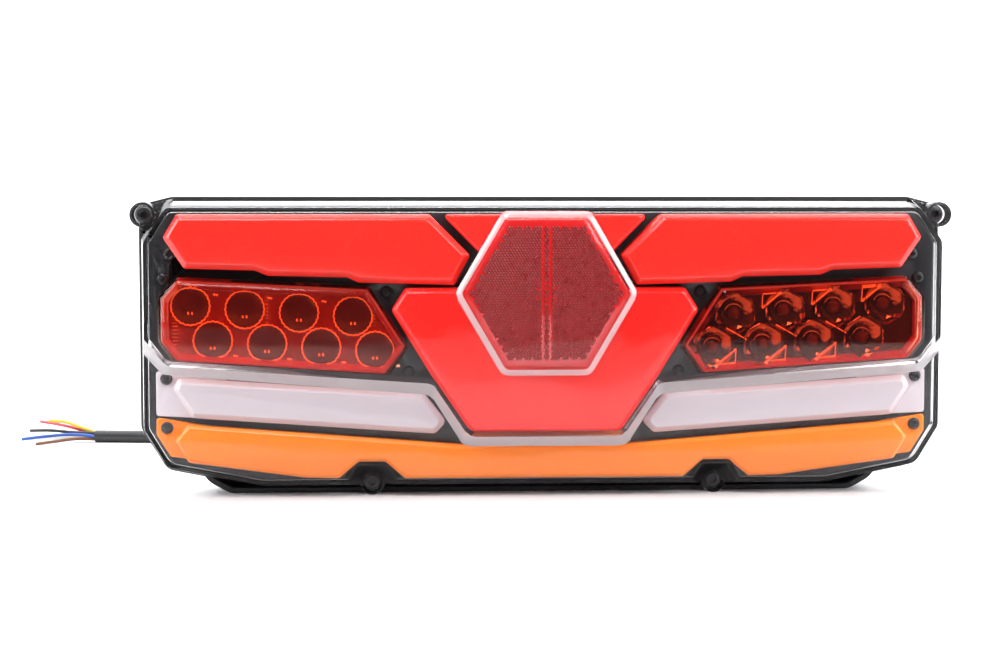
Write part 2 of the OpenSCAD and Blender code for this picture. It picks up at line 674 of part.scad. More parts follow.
// ---- Cable gland in the back of the housing ----
gland_hex_r = 11;
gland_hex_t = 5;
gland_neck = 7;
nut_len = 11;
gland_end = body_d + gland_hex_t + gland_neck + 4.5;
bore_r = cable_d / 2 + 0.1;
module gland_locknut() {
    color([0.12, 0.12, 0.13]) difference() {
        disc(gland_place, gland_hex_r, back_inside - 4, back_inside, 6);
        disc(gland_place, gland_r + thread_gap, back_inside - 5, back_inside + 1);
    }
}
module cable_gland() {
    color([0.1, 0.1, 0.11]) difference() {
        union() {
            disc(gland_place, gland_r, back_inside - 5, seat_d + 0.5);
            disc(gland_place, gland_hex_r, seat_d, body_d + gland_hex_t, 6);
            disc(gland_place, gland_r, body_d + gland_hex_t - 0.5, body_d + gland_hex_t + gland_neck);
        }
        disc(gland_place, bore_r, back_inside - 6, body_d + gland_hex_t + gland_neck + 1);
        disc(gland_place, bore_r + 1.6, body_d + gland_hex_t, body_d + gland_hex_t + gland_neck + 1);
    }
}
module gland_seal() {
    color([0.2, 0.2, 0.2]) difference() {
        disc(gland_place, bore_r + 1.55, body_d + gland_hex_t, body_d + gland_hex_t + gland_neck - 0.5);
        disc(gland_place, cable_d / 2 + 0.02, body_d + gland_hex_t - 1, body_d + gland_hex_t + gland_neck + 1);
    }
}
module gland_nut() {
    nut_front = body_d + gland_hex_t + 0.6;
    color([0.1, 0.1, 0.11]) difference() {
        union() {
            disc(gland_place, gland_hex_r - 0.6, nut_front, nut_front + nut_len * 0.55, 6);
            translate([gland_place.x, y(nut_front + nut_len * 0.55), gland_place.y]) rotate([-90, 0, 0])
                cylinder(h = gland_end - nut_front - nut_len * 0.55, r1 = gland_hex_r - 2.2, r2 = bore_r + 1.6);
        }
        disc(gland_place, gland_r + thread_gap, nut_front - 1, body_d + gland_hex_t + gland_neck);
        disc(gland_place, bore_r, nut_front - 1, gland_end + 1);
    }
}

// ---- Cable: its route's points, from inside the gland to the coil and from the coil to its end ----
coil_r = 42;
coil_turn_r = 35;
coil_layers = 2;
coil_centre = [-102, 128];
tie_band = 1.2;
lead_points = [
    [-60, 2, 30], [-60, 20, 30], [-60, 36, 30], [-60, 48, 29.6], [-60, 60, 27.4], [-60, 72, 22],
    [-60, 84, 14.5], [-60, 96, 8.6], [-60, 108, 5.4], [-60, 118, 4.7], [-60, 128, 4.7]
];
tail_points = [
    [-102, 170, 11.7], [-114, 170.2, 11.4], [-126, 171, 10.2], [-138, 172.4, 8], [-150, 174.4, 5.6], [-162, 177, 4],
    [-176, 180.4, 3.5], [-192, 184, 3.5], [-208, 187, 3.5], [-224, 189.4, 3.5], [-244, 192, 3.5]
];
function smooth(p, t) =
    let (
        k = min(floor(t), len(p) - 2),
        f = t - k,
        a = p[max(k - 1, 0)],
        b = p[k],
        c = p[k + 1],
        d = p[min(k + 2, len(p) - 1)]
    )
    0.5 * (2 * b + (c - a) * f + (2 * a - 5 * b + 4 * c - d) * f * f + (3 * b - a - 3 * c + d) * f * f * f);
function unit(v) = v / norm(v);
function tangent(q, i) = unit(q[min(i + 1, len(q) - 1)] - q[max(i - 1, 0)]);
module tube(p, r, per_point = 1, sides = 10, up = [0, 0, 1]) {
    steps = (len(p) - 1) * per_point;
    q = [for (i = [0:steps]) smooth(p, i / per_point)];
    points = [
        for (i = [0:steps])
            let (t = tangent(q, i), u = unit(cross(up, t)), v = cross(t, u))
            for (k = [0:sides - 1]) q[i] + r * (u * cos(360 * k / sides) + v * sin(360 * k / sides))
    ];
    walls = [
        for (i = [0:steps - 1], k = [0:sides - 1])
            let (j = (k + 1) % sides)
            [i * sides + k, i * sides + j, (i + 1) * sides + j, (i + 1) * sides + k]
    ];
    polyhedron(points, concat(
        [[for (k = [0:sides - 1]) k]], [for (w = walls) [w[3], w[2], w[1], w[0]]],
        [[for (k = [sides - 1:-1:0]) steps * sides + k]]), convexity = 6);
}
module cable_lead() { color([0.06, 0.06, 0.065]) tube(lead_points, cable_d / 2, 1); }
module cable_tail() { color([0.06, 0.06, 0.065]) tube(tail_points, cable_d / 2, 1); }
module cable_coil() {
    color([0.06, 0.06, 0.065]) translate([coil_centre.x, coil_centre.y, tie_band]) rotate_extrude($fn = 72)
        translate([coil_turn_r - cable_d / 2, 0]) square([coil_r - coil_turn_r + cable_d, coil_layers * cable_d]);
}
module cable_tie() {
    tie_w = 4.8;
    tie_gap = 0.15;
    inner = [coil_r - coil_turn_r + cable_d + 2 * tie_gap, coil_layers * cable_d + tie_gap];
    color([0.1, 0.1, 0.1])
    translate([coil_centre.x - coil_r - cable_d / 2 - tie_gap, coil_centre.y - tie_w / 2, tie_band])
    difference() {
        translate([-tie_band, 0, -tie_band]) cube([inner.x + 2 * tie_band, tie_w, inner.y + 2 * tie_band]);
        translate([0, -1, 0]) cube([inner.x, tie_w + 2, inner.y]);
    }
}

// ---- Stripped cores, spread out from the end of the sheath ----
sheath_end = tail_points[len(tail_points) - 1];
tip_len = 6;
core_starts = [[-1, 2, 0], [-1, 1, 1.7], [-1, -1, 1.7], [-1, -2, 0], [-1, -1, -1.7], [-1, 1, -1.7]];
core_routes = [
    [[-12, 4, 4], [-24, 10, 6], [-34, 15, 7]],
    [[-9, 2, 5], [-18, 3, 8], [-27, 1, 9]],
    [[-13, -1, 2.4], [-26, 0, 3.4], [-38, 3, 3]],
    [[-12, -3.6, 1.4], [-26, -9, 1.2], [-40, -13, 0]],
    [[-11, -5, -1], [-22, -12, -1.6], [-31, -20, -2]],
    [[-13, 2, -1], [-27, 5, -1.8], [-42, 6, -2]]
];
module core(k) {
    route = concat([sheath_end + core_starts[k]], [for (v = core_routes[k]) sheath_end + v]);
    tube(route, core_d / 2, 3, 8);
}
module core_red() { color([0.85, 0.15, 0.2]) core(0); }
module core_yellow() { color([0.95, 0.8, 0.1]) core(1); }
module core_blue() { color([0.1, 0.25, 0.7]) core(3); }
module core_black() { color([0.05, 0.05, 0.05]) core(2); }
module core_brown() { color([0.35, 0.18, 0.08]) core(4); }
module core_white() { color([0.9, 0.9, 0.9]) core(5); }
module core_tips() {
    color([0.8, 0.8, 0.82]) for (r = core_routes) {
        end = sheath_end + r[2];
        way = unit(r[2] - r[1]);
        tube([end, end + way * tip_len / 2, end + way * tip_len], core_d / 2 - 0.35, 1, 8);
    }
}
lead_turns = [180, 120, 240, 60, 300, 0];
module inner_leads() {
    lead_r = 0.6;
    ring_r = 2.3;
    pitch = 2.4;
    from = lead_points[0];
    to = [header_place.x, y(parts_d + 8), header_place.y];
    color([0.15, 0.15, 0.15]) for (i = [0:len(lead_turns) - 1]) {
        ring = [ring_r * cos(lead_turns[i]), 0, ring_r * sin(lead_turns[i])];
        // The bundle turns upward, so what was above becomes behind
        turned = [ring.x, ring.z, 0] * 1.2;
        row = [pitch * (i - 2.5), 0, 0];
        tube([
            from + ring + [0, -0.1, 0], from + ring + [0, -2, 0], from + turned + [1, -4, 8], to + row * 1.3 + [-2, 1, -20],
            to + row + [0, 4.5, -8], to + row + [0, 3, 0], to + row
        ], lead_r, 1, 8, [1, 0, 0]);
    }
}

housing();
lens_gasket();
outer_lens();
lens_screws();
carrier();
tail_diffuser_left();
tail_diffuser_right();
centre_top_diffuser();
stop_diffuser();
reflex_reflector();
reflector_backing();
led_cover_left();
led_cover_right();
led_optics_left();
led_cups_right();
led_board_left();
led_board_right();
led_chips_left();
led_chips_right();
tail_board_left();
tail_board_right();
tail_leds();
stop_board();
stop_leds();
reverse_diffuser_left();
reverse_diffuser_right();
reverse_board_left();
reverse_board_right();
reverse_leds();
indicator_diffuser();
indicator_board();
indicator_leds();
carrier_screws();
module_screws();
control_board();
board_screws();
board_coils();
board_capacitors();
board_header();
header_plug();
inner_leads();
gland_locknut();
cable_gland();
gland_nut();
gland_seal();
vent_plug();
mounting_studs();
cable_lead();
cable_coil();
cable_tail();
cable_tie();
core_red();
core_yellow();
core_blue();
core_black();
core_brown();
core_white();
core_tips();
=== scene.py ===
# Looks of the trailer tail light: camera, cable, finished mouldings, optics and materials
import math
import bpy
import bmesh
from mathutils import Matrix, Vector


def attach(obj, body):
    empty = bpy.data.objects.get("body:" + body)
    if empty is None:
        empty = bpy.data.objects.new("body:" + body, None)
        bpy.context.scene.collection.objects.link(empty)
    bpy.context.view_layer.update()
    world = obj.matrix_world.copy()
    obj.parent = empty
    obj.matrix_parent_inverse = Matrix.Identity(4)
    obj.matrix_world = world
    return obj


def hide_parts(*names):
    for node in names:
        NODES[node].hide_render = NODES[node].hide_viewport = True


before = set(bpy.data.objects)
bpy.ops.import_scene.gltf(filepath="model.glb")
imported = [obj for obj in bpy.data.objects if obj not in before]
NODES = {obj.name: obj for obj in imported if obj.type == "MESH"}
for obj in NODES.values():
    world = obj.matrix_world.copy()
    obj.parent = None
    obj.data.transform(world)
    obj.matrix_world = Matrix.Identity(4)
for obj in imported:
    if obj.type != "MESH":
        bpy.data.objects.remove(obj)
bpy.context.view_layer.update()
MM = 0.001
SCENE = bpy.context.scene


# ---- Camera ----

def aim_camera(azimuth, elevation, distance, target, focal_mm):
    a, e = math.radians(azimuth), math.radians(elevation)
    away = Vector((math.sin(a) * math.cos(e), -math.cos(a) * math.cos(e), math.sin(e)))
    data = bpy.data.cameras.new("camera")
    data.sensor_width = 36
    data.lens = focal_mm
    camera = bpy.data.objects.new("camera", data)
    camera.location = Vector(target) + away * distance
    camera.rotation_euler = (-away).to_track_quat("-Z", "Y").to_euler()
    SCENE.collection.objects.link(camera)
    SCENE.camera = camera


aim_camera(azimuth=-3.0, elevation=4.0, distance=0.932, target=(-0.0213, -0.03, 0.0777), focal_mm=71.3)
SCENE.view_settings.view_transform = "Standard"


# ---- Objects and meshes ----

SAME_CORNER = 2e-6  # metres
FLAT_WITHIN = 0.5  # degrees


def new_object(name, mesh):
    piece = bpy.data.objects.new(name, mesh)
    SCENE.collection.objects.link(piece)
    return piece


def mesh_of(name, points, faces):
    mesh = bpy.data.meshes.new(name)
    mesh.from_pydata([tuple(p) for p in points], [], faces)
    mesh.update()
    return mesh


def freeze(piece):
    """Turns what the modifiers make of a piece into its plain mesh."""
    graph = bpy.context.evaluated_depsgraph_get()
    mesh = bpy.data.meshes.new_from_object(piece.evaluated_get(graph), depsgraph=graph)
    piece.modifiers.clear()
    if piece.type == "CURVE":
        name = piece.name
        bpy.data.objects.remove(piece)
        piece = new_object(name, mesh)
    else:
        piece.data = mesh
    return piece


def smooth(mesh, angle=30):
    mesh.polygons.foreach_set("use_smooth", [True] * len(mesh.polygons))
    mesh.set_sharp_from_angle(angle=math.radians(angle))


def merged_copy(node):
    """A copy of a CAD node's mesh with its corners merged and its flat faces whole."""
    bm = bmesh.new()
    bm.from_mesh(NODES[node].data)
    bmesh.ops.remove_doubles(bm, verts=bm.verts, dist=SAME_CORNER)
    bmesh.ops.dissolve_limit(bm, angle_limit=math.radians(FLAT_WITHIN), verts=bm.verts, edges=bm.edges)
    mesh = bpy.data.meshes.new(node)
    bm.to_mesh(mesh)
    bm.free()
    return mesh


def bevelled(piece, width, segments=3, angle=30):
    bevel = piece.modifiers.new("edge", "BEVEL")
    bevel.width = width
    bevel.segments = segments
    bevel.limit_method = "ANGLE"
    bevel.angle_limit = math.radians(angle)
    bevel.use_clamp_overlap = False
    bevel.harden_normals = False
    return freeze(piece)


def with_normals_out(mesh, merge=None):
    """The same mesh with every face turned outward, and corners nearer than merge made one."""
    bm = bmesh.new()
    bm.from_mesh(mesh)
    if merge:
        bmesh.ops.remove_doubles(bm, verts=bm.verts, dist=merge)
    bmesh.ops.recalc_face_normals(bm, faces=bm.faces)
    bm.to_mesh(mesh)
    bm.free()
    return mesh


def dress(piece, material, slot, *nodes):
    piece.data.materials.clear()
    piece.data.materials.append(material)
    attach(piece, "root")
    if nodes:
        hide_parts(*nodes)
    return piece


def moulded(node, material, slot, edge=0.4, segments=2, angle=30):
    """The finished form of a CAD node: the same shape with its sharp edges rounded."""
    piece = bevelled(new_object(node + "_part", merged_copy(node)), edge * MM, segments, angle)
    smooth(piece.data, 35)
    return dress(piece, material, slot, node)


# ---- Shader groups ----

def new_group(name, inputs, outputs):
    group = bpy.data.node_groups.new(name, "ShaderNodeTree")
    for label, kind, value in inputs:
        socket = group.interface.new_socket(label, in_out="INPUT", socket_type=kind)
        socket.default_value = value
    for label, kind in outputs:
        group.interface.new_socket(label, in_out="OUTPUT", socket_type=kind)
    return group, group.nodes.new("NodeGroupInput"), group.nodes.new("NodeGroupOutput")


def math_node(tree, operation, a, b=None, clamp=False):
    node = tree.nodes.new("ShaderNodeMath")
    node.operation = operation
    node.use_clamp = clamp
    for socket, value in zip(node.inputs, (a, b)):
        if value is None:
            continue
        if isinstance(value, (int, float)):
            socket.default_value = value
        else:
            tree.links.new(value, socket)
    return node.outputs[0]


def noise_node(tree, vector, scale, detail=3.0, roughness=0.5):
    node = tree.nodes.new("ShaderNodeTexNoise")
    tree.links.new(vector, node.inputs["Vector"])
    node.inputs["Detail"].default_value = detail
    node.inputs["Roughness"].default_value = roughness
    if isinstance(scale, (int, float)):
        node.inputs["Scale"].default_value = scale
    else:
        tree.links.new(scale, node.inputs["Scale"])
    return node.outputs["Fac"]


def mix_colour(tree, factor, a, b, blend="MIX"):
    node = tree.nodes.new("ShaderNodeMix")
    node.data_type = "RGBA"
    node.blend_type = blend
    for socket, value in ((node.inputs[0], factor), (node.inputs[6], a), (node.inputs[7], b)):
        if hasattr(value, "is_output"):
            tree.links.new(value, socket)
        else:
            socket.default_value = value
    return node.outputs[2]


def make_mottle():
    """Slow change of colour and gloss over a moulding, as in real plastic."""
    group, into, out = new_group(
        "plastic_mottle",
        [("Color", "NodeSocketColor", (1, 1, 1, 1)), ("Amount", "NodeSocketFloat", 0.05),
         ("Size", "NodeSocketFloat", 40.0), ("Roughness", "NodeSocketFloat", 0.3)],
        [("Color", "NodeSocketColor"), ("Roughness", "NodeSocketFloat")])
    place = group.nodes.new("ShaderNodeTexCoord").outputs["Object"]
    cloud = noise_node(group, place, into.outputs["Size"], 4.0)
    swing = math_node(group, "MULTIPLY", math_node(group, "SUBTRACT", cloud, 0.5), into.outputs["Amount"])
    lift = math_node(group, "ADD", swing, 1.0)
    grey = group.nodes.new("ShaderNodeCombineColor")
    for socket in grey.inputs[:3]:
        group.links.new(lift, socket)
    colour = mix_colour(group, 1.0, into.outputs["Color"], grey.outputs[0], "MULTIPLY")
    rough = math_node(group, "ADD", into.outputs["Roughness"], swing, clamp=True)
    group.links.new(colour, out.inputs["Color"])
    group.links.new(rough, out.inputs["Roughness"])
    return group


def make_grain():
    """Fine relief of a moulded or rubbed surface."""
    group, into, out = new_group(
        "moulded_grain",
        [("Size", "NodeSocketFloat", 900.0), ("Depth", "NodeSocketFloat", 1.0), ("Ripple", "NodeSocketFloat", 0.3)],
        [("Height", "NodeSocketFloat")])
    place = group.nodes.new("ShaderNodeTexCoord").outputs["Object"]
    fine = noise_node(group, place, into.outputs["Size"], 2.0, 0.6)
    wide = noise_node(group, place, 30.0, 2.0)
    total = math_node(group, "ADD", math_node(group, "MULTIPLY", fine, into.outputs["Depth"]),
                      math_node(group, "MULTIPLY", wide, into.outputs["Ripple"]))
    group.links.new(total, out.inputs["Height"])
    return group


def make_dust():
    """A thin scatter of pale specks, more of it on what faces up."""
    group, into, out = new_group(
        "settled_dust",
        [("Color", "NodeSocketColor", (1, 1, 1, 1)), ("Amount", "NodeSocketFloat", 0.2),
         ("Size", "NodeSocketFloat", 700.0)],
        [("Color", "NodeSocketColor"), ("Mask", "NodeSocketFloat")])
    place = group.nodes.new("ShaderNodeTexCoord").outputs["Object"]
    speck = group.nodes.new("ShaderNodeTexVoronoi")
    group.links.new(place, speck.inputs["Vector"])
    group.links.new(into.outputs["Size"], speck.inputs["Scale"])
    near = math_node(group, "LESS_THAN", speck.outputs["Distance"], 0.13)
    pick = math_node(group, "GREATER_THAN", noise_node(group, place, 160.0), 0.56)
    normal = group.nodes.new("ShaderNodeNewGeometry").outputs["Normal"]
    parts = group.nodes.new("ShaderNodeSeparateXYZ")
    group.links.new(normal, parts.inputs[0])
    up = math_node(group, "ADD", math_node(group, "MULTIPLY", parts.outputs["Z"], 0.6), 0.4, clamp=True)
    mask = math_node(group, "MULTIPLY", math_node(group, "MULTIPLY", near, pick), up)
    mask = math_node(group, "MULTIPLY", mask, into.outputs["Amount"])
    group.links.new(mix_colour(group, mask, into.outputs["Color"], (0.75, 0.72, 0.7, 1)), out.inputs["Color"])
    group.links.new(mask, out.inputs["Mask"])
    return group


MOTTLE, GRAIN, DUST = make_mottle(), make_grain(), make_dust()


def place_group(tree, group, **values):
    node = tree.nodes.new("ShaderNodeGroup")
    node.node_tree = group
    for label, value in values.items():
        socket = node.inputs[label.replace("_", " ")]
        if hasattr(value, "is_output"):
            tree.links.new(value, socket)
        else:
            socket.default_value = value
    return node


def finish_of(name, colour, roughness=0.4, metallic=0.0, mottle=0.06, size=40.0, grain=900.0, depth=1.0,
              ripple=0.0, relief=0.02, dust=0.0, shader=()):
    """A material: a Principled shader fed by the shared groups. shader sets further sockets."""
    material = bpy.data.materials.new(name)
    material.use_nodes = True
    tree = material.node_tree
    principled = tree.nodes["Principled BSDF"]
    soft = place_group(tree, MOTTLE, Color=(*colour, 1), Amount=mottle, Size=size, Roughness=roughness)
    tint = soft.outputs["Color"]
    if dust:
        tint = place_group(tree, DUST, Color=tint, Amount=dust).outputs["Color"]
    tree.links.new(tint, principled.inputs["Base Color"])
    tree.links.new(soft.outputs["Roughness"], principled.inputs["Roughness"])
    principled.inputs["Metallic"].default_value = metallic
    if relief:
        skin = place_group(tree, GRAIN, Size=grain, Depth=depth, Ripple=ripple)
        bump = tree.nodes.new("ShaderNodeBump")
        bump.inputs["Strength"].default_value = 1.0
        bump.inputs["Distance"].default_value = relief * MM
        tree.links.new(skin.outputs["Height"], bump.inputs["Height"])
        tree.links.new(bump.outputs["Normal"], principled.inputs["Normal"])
    for label, value in dict(shader).items():
        principled.inputs[label].default_value = value
    return material


def let_lamps_through(material, tint):
    """Shadow rays pass a clear material as through a tinted sheet, so what is behind it is lit."""
    tree = material.node_tree
    output = next(n for n in tree.nodes if n.type == "OUTPUT_MATERIAL")
    clear = tree.nodes.new("ShaderNodeBsdfTransparent")
    clear.inputs["Color"].default_value = (*tint, 1)
    path = tree.nodes.new("ShaderNodeLightPath")
    mix = tree.nodes.new("ShaderNodeMixShader")
    tree.links.new(path.outputs["Is Shadow Ray"], mix.inputs[0])
    tree.links.new(tree.nodes["Principled BSDF"].outputs[0], mix.inputs[1])
    tree.links.new(clear.outputs[0], mix.inputs[2])
    tree.links.new(mix.outputs[0], output.inputs["Surface"])
    return material


def opal(name, colour, radius, dust=0.35, roughness=0.22, weight=0.35):
    return finish_of(name, colour, roughness, mottle=0.05, size=22.0, grain=1400.0, relief=0.004, dust=dust,
                     ripple=1.0,
                     shader={"Subsurface Weight": weight, "Subsurface Radius": radius, "Subsurface Scale": 1.0,
                             "IOR": 1.49, "Coat Weight": 0.25, "Coat Roughness": 0.05})


def glassy(name, colour, tint, ior, relief=0.002, shine=0.2):
    made = finish_of(name, colour, roughness=0.0, mottle=0.02, size=15.0, grain=200.0, relief=relief, ripple=1.0,
                     shader={"Transmission Weight": 1.0, "IOR": ior, "Specular IOR Level": shine})
    return let_lamps_through(made, tint)


FULL_COAT = {"Coat Weight": 1.0, "Coat Roughness": 0.03}
# Emission for the bright optic parts, which are no lamp: painted glow standing in for their glints and highlights.
PAINTED_GLOW = {"Emission Color": (1.0, 0.3, 0.1, 1), "Emission Strength": 0.55}
FINISH = {
    "housing_black": finish_of("housing_black", (0.022, 0.022, 0.024), 0.52, relief=0.05, grain=1100.0, dust=0.3),
    "carrier_black": finish_of("carrier_black", (0.012, 0.012, 0.014), 0.32, relief=0.012, dust=0.2),
    "gasket_rubber": finish_of("gasket_rubber", (0.02, 0.02, 0.02), 0.75, relief=0.03),
    "clear_lens": glassy("clear_lens", (0.975, 0.97, 0.98), (0.95, 0.95, 0.96), ior=1.22),
    # A whitish, half-clear finish for the lens slopes: painted sheen standing in for the light they catch.
    "lens_frost": let_lamps_through(
        finish_of("lens_frost", (0.86, 0.80, 0.83), 0.2, mottle=0.12, size=120.0, relief=0.01,
                  shader={"Transmission Weight": 0.55, "IOR": 1.49, "Coat Weight": 0.8, "Coat Roughness": 0.02}),
        (0.9, 0.88, 0.9)),
    "black_screw": finish_of("black_screw", (0.035, 0.034, 0.036), 0.36, metallic=0.55, relief=0.008, grain=2200.0),
    "opal_red": opal("opal_red", (0.93, 0.022, 0.012), (0.004, 0.0008, 0.0005)),
    "stop_red": opal("stop_red", (0.9, 0.014, 0.009), (0.004, 0.0007, 0.0004)),
    "reflex_red": finish_of("reflex_red", (0.26, 0.004, 0.005), 0.34, relief=0.0, mottle=0.5, size=260.0,
                            shader={"Specular IOR Level": 0.35, "Coat Weight": 0.12, "Coat Roughness": 0.1}),
    "reflex_rim": finish_of("reflex_rim", (0.62, 0.008, 0.008), 0.15, relief=0.0, shader=FULL_COAT),
    "lining_red": finish_of("lining_red", (0.5, 0.03, 0.03), 0.2, relief=0.0,
                            shader={"Coat Weight": 0.8, "Coat Roughness": 0.04}),
    "optic_dark": finish_of("optic_dark", (0.075, 0.012, 0.01), 0.2, relief=0.12, grain=1500.0, mottle=0.5, size=900.0,
                            shader={"Coat Weight": 0.4, "Coat Roughness": 0.05}),
    # The bright optic finish: an orange base with strong mottle and the painted glow above, a painted highlight on
    # rims, dies, slots and frames.
    "optic_bright": finish_of("optic_bright", (1.0, 0.42, 0.2), 0.12, relief=0.0, mottle=1.6, size=520.0,
                              shader={**FULL_COAT, **PAINTED_GLOW}),
    "optic_web": finish_of("optic_web", (0.3, 0.03, 0.016), 0.14, mottle=0.9, size=160.0, relief=0.02,
                           shader=FULL_COAT),
    "cup_frame": finish_of("cup_frame", (0.05, 0.01, 0.008), 0.2, relief=0.0, shader=FULL_COAT),
    "backing_red": finish_of("backing_red", (0.16, 0.006, 0.007), 0.45, relief=0.01),
    "cover_red": glassy("cover_red", (0.97, 0.3, 0.17), (0.98, 0.46, 0.26), ior=1.3),
    "cup_metal": finish_of("cup_metal", (0.42, 0.36, 0.34), 0.08, metallic=1.0, mottle=0.04, relief=0.004),
    "board_green": finish_of("board_green", (0.02, 0.11, 0.05), 0.34, relief=0.01, size=160.0, mottle=0.2),
    "led_yellow": finish_of("led_yellow", (0.85, 0.62, 0.12), 0.3, relief=0.004),
    "opal_white": opal("opal_white", (0.6, 0.535, 0.56), (0.003, 0.0028, 0.0028), dust=0.0),
    "opal_amber": opal("opal_amber", (1.0, 0.215, 0.003), (0.004, 0.0016, 0.0004)),
    "zinc_screw": finish_of("zinc_screw", (0.62, 0.62, 0.64), 0.28, metallic=1.0, relief=0.01, grain=2600.0),
    "part_grey": finish_of("part_grey", (0.08, 0.08, 0.09), 0.6, relief=0.03),
    "can_metal": finish_of("can_metal", (0.6, 0.6, 0.62), 0.3, metallic=0.9, relief=0.01),
    "connector_white": finish_of("connector_white", (0.75, 0.73, 0.68), 0.45, relief=0.01),
    "inner_wire": finish_of("inner_wire", (0.06, 0.06, 0.06), 0.45, relief=0.01),
    "gland_black": finish_of("gland_black", (0.02, 0.02, 0.022), 0.45, relief=0.03, dust=0.2),
    "seal_rubber": finish_of("seal_rubber", (0.04, 0.04, 0.04), 0.8, relief=0.02),
    "vent_grey": finish_of("vent_grey", (0.06, 0.06, 0.065), 0.5, relief=0.02),
    "stud_zinc": finish_of("stud_zinc", (0.66, 0.66, 0.67), 0.3, metallic=1.0, mottle=0.12, size=120.0, relief=0.01),
    "cable_sheath": finish_of("cable_sheath", (0.02, 0.02, 0.022), 0.42, relief=0.06, grain=700.0, dust=0.35),
    "tie_black": finish_of("tie_black", (0.015, 0.015, 0.016), 0.4, relief=0.01),
    "core_red": finish_of("core_red", (0.62, 0.05, 0.09), 0.4, relief=0.01),
    "core_yellow": finish_of("core_yellow", (0.8, 0.5, 0.03), 0.4, relief=0.01),
    "core_blue": finish_of("core_blue", (0.03, 0.1, 0.42), 0.4, relief=0.01),
    "core_black": finish_of("core_black", (0.02, 0.02, 0.022), 0.4, relief=0.01),
    "core_brown": finish_of("core_brown", (0.16, 0.06, 0.025), 0.4, relief=0.01),
    "core_white": finish_of("core_white", (0.78, 0.78, 0.78), 0.4, relief=0.01),
    "tinned_copper": finish_of("tinned_copper", (0.72, 0.7, 0.67), 0.32, metallic=1.0, relief=0.03, grain=3000.0),
}


# ---- Cable ----
# The route's points are those of the CAD model, in metres.

LEAD = [(-60, 12, 30), (-60, 20, 30), (-60, 36, 30), (-60, 48, 29.6), (-60, 60, 27.4), (-60, 72, 22),
        (-60, 84, 14.5), (-60, 96, 8.6), (-60, 108, 5.4), (-60, 118, 4.7)]
TAIL = [(-114, 170.2, 11.4), (-126, 171, 10.2), (-138, 172.4, 8), (-150, 174.4, 5.6), (-162, 177, 4),
        (-176, 180.4, 3.5), (-192, 184, 3.5), (-208, 187, 3.5), (-224, 189.4, 3.5), (-244, 192, 3.5)]
COIL_CENTRE = Vector((-102, 128, 0))
OUTER_TURN, INNER_TURN = 42.0, 35.0
LOW_LAYER, HIGH_LAYER = 4.7, 11.7
CABLE_R = 3.5
SHEATH_END = Vector(TAIL[-1])


def ease(t):
    t = min(max(t, 0.0), 1.0)
    return t * t * (3 - 2 * t)


def coil_point(turned):
    """A point of the coil after so many degrees: an outer turn, in, an inner turn, up, another, and out."""
    inward = ease((turned - 285) / 60)
    climb = ease((turned - 640) / 60)
    outward = ease((turned - 1000) / 60)
    r = OUTER_TURN - (OUTER_TURN - INNER_TURN) * (inward - outward)
    z = LOW_LAYER + (HIGH_LAYER - LOW_LAYER) * climb
    a = math.radians(turned)
    return COIL_CENTRE + Vector((r * math.cos(a), r * math.sin(a), z))


COIL_TURNED = 1170
COIL_STEP = 15
COIL = [coil_point(a) for a in range(0, COIL_TURNED + 1, COIL_STEP)]


def run_of(name, points, radius, ends=True):
    """A curve through points in millimetres, round in section."""
    curve = bpy.data.curves.new(name, "CURVE")
    curve.dimensions = "3D"
    curve.bevel_depth = radius * MM
    curve.bevel_resolution = 5
    curve.use_fill_caps = ends
    curve.resolution_u = 6
    spline = curve.splines.new("BEZIER")
    spline.bezier_points.add(len(points) - 1)
    for knot, point in zip(spline.bezier_points, points):
        knot.co = Vector(point) * MM
        knot.handle_left_type = knot.handle_right_type = "AUTO"
    piece = bpy.data.objects.new(name, curve)
    SCENE.collection.objects.link(piece)
    return piece


def lay_cable():
    cable = run_of("cable", [Vector(p) for p in LEAD] + COIL + [Vector(p) for p in TAIL], CABLE_R)
    cable.data.materials.append(FINISH["cable_sheath"])
    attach(cable, "root")
    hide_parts("cable_lead", "cable_coil", "cable_tail")
    return cable


CORE_STARTS = [(1, 2, 0), (1, 1, 1.7), (1, -1, 1.7), (1, -2, 0), (1, -1, -1.7), (1, 1, -1.7)]
CORES = {
    "core_red": [(-12, 4, 4), (-24, 10, 6), (-34, 15, 7)],
    "core_yellow": [(-9, 2, 5), (-18, 3, 8), (-27, 1, 9)],
    "core_black": [(-13, -1, 2.4), (-26, 0, 3.4), (-38, 3, 3)],
    "core_blue": [(-12, -3.6, 1.4), (-26, -9, 1.2), (-40, -13, 0)],
    "core_brown": [(-11, -5, -1), (-22, -12, -1.6), (-31, -20, -2)],
    "core_white": [(-13, 2, -1), (-27, 5, -1.8), (-42, 6, -2)],
}
CORE_R = 0.95
TIP_LENGTH = 6.0


def spread_cores():
    """The six cores and the tinned strands at their ends."""
    made = []
    strands = []
    for (name, route), start in zip(CORES.items(), CORE_STARTS):
        points = [SHEATH_END + Vector(start)] + [SHEATH_END + Vector(p) for p in route]
        piece = freeze(run_of(name + "_wire", points, CORE_R))
        smooth(piece.data, 50)
        made.append(dress(piece, FINISH[name], name, name))
        way = (points[-1] - points[-2]).normalized()
        across = way.orthogonal().normalized()
        for k in range(7):
            off = Matrix.Rotation(k * math.tau / 6, 3, way) @ across * (0.38 if k < 6 else 0.0)
            twist = Matrix.Rotation(1.1, 3, way) @ off
            tip = [points[-1] + off - way, points[-1] + off * 0.9 + twist * 0.1 + way * TIP_LENGTH * 0.5,
                   points[-1] + twist * 0.85 + way * TIP_LENGTH]
            strands.append(freeze(run_of("strand", tip, 0.2)))
    tips = joined("core_strands", strands)
    smooth(tips.data, 60)
    made.append(dress(tips, FINISH["tinned_copper"], "tinned_copper", "core_tips"))
    return made


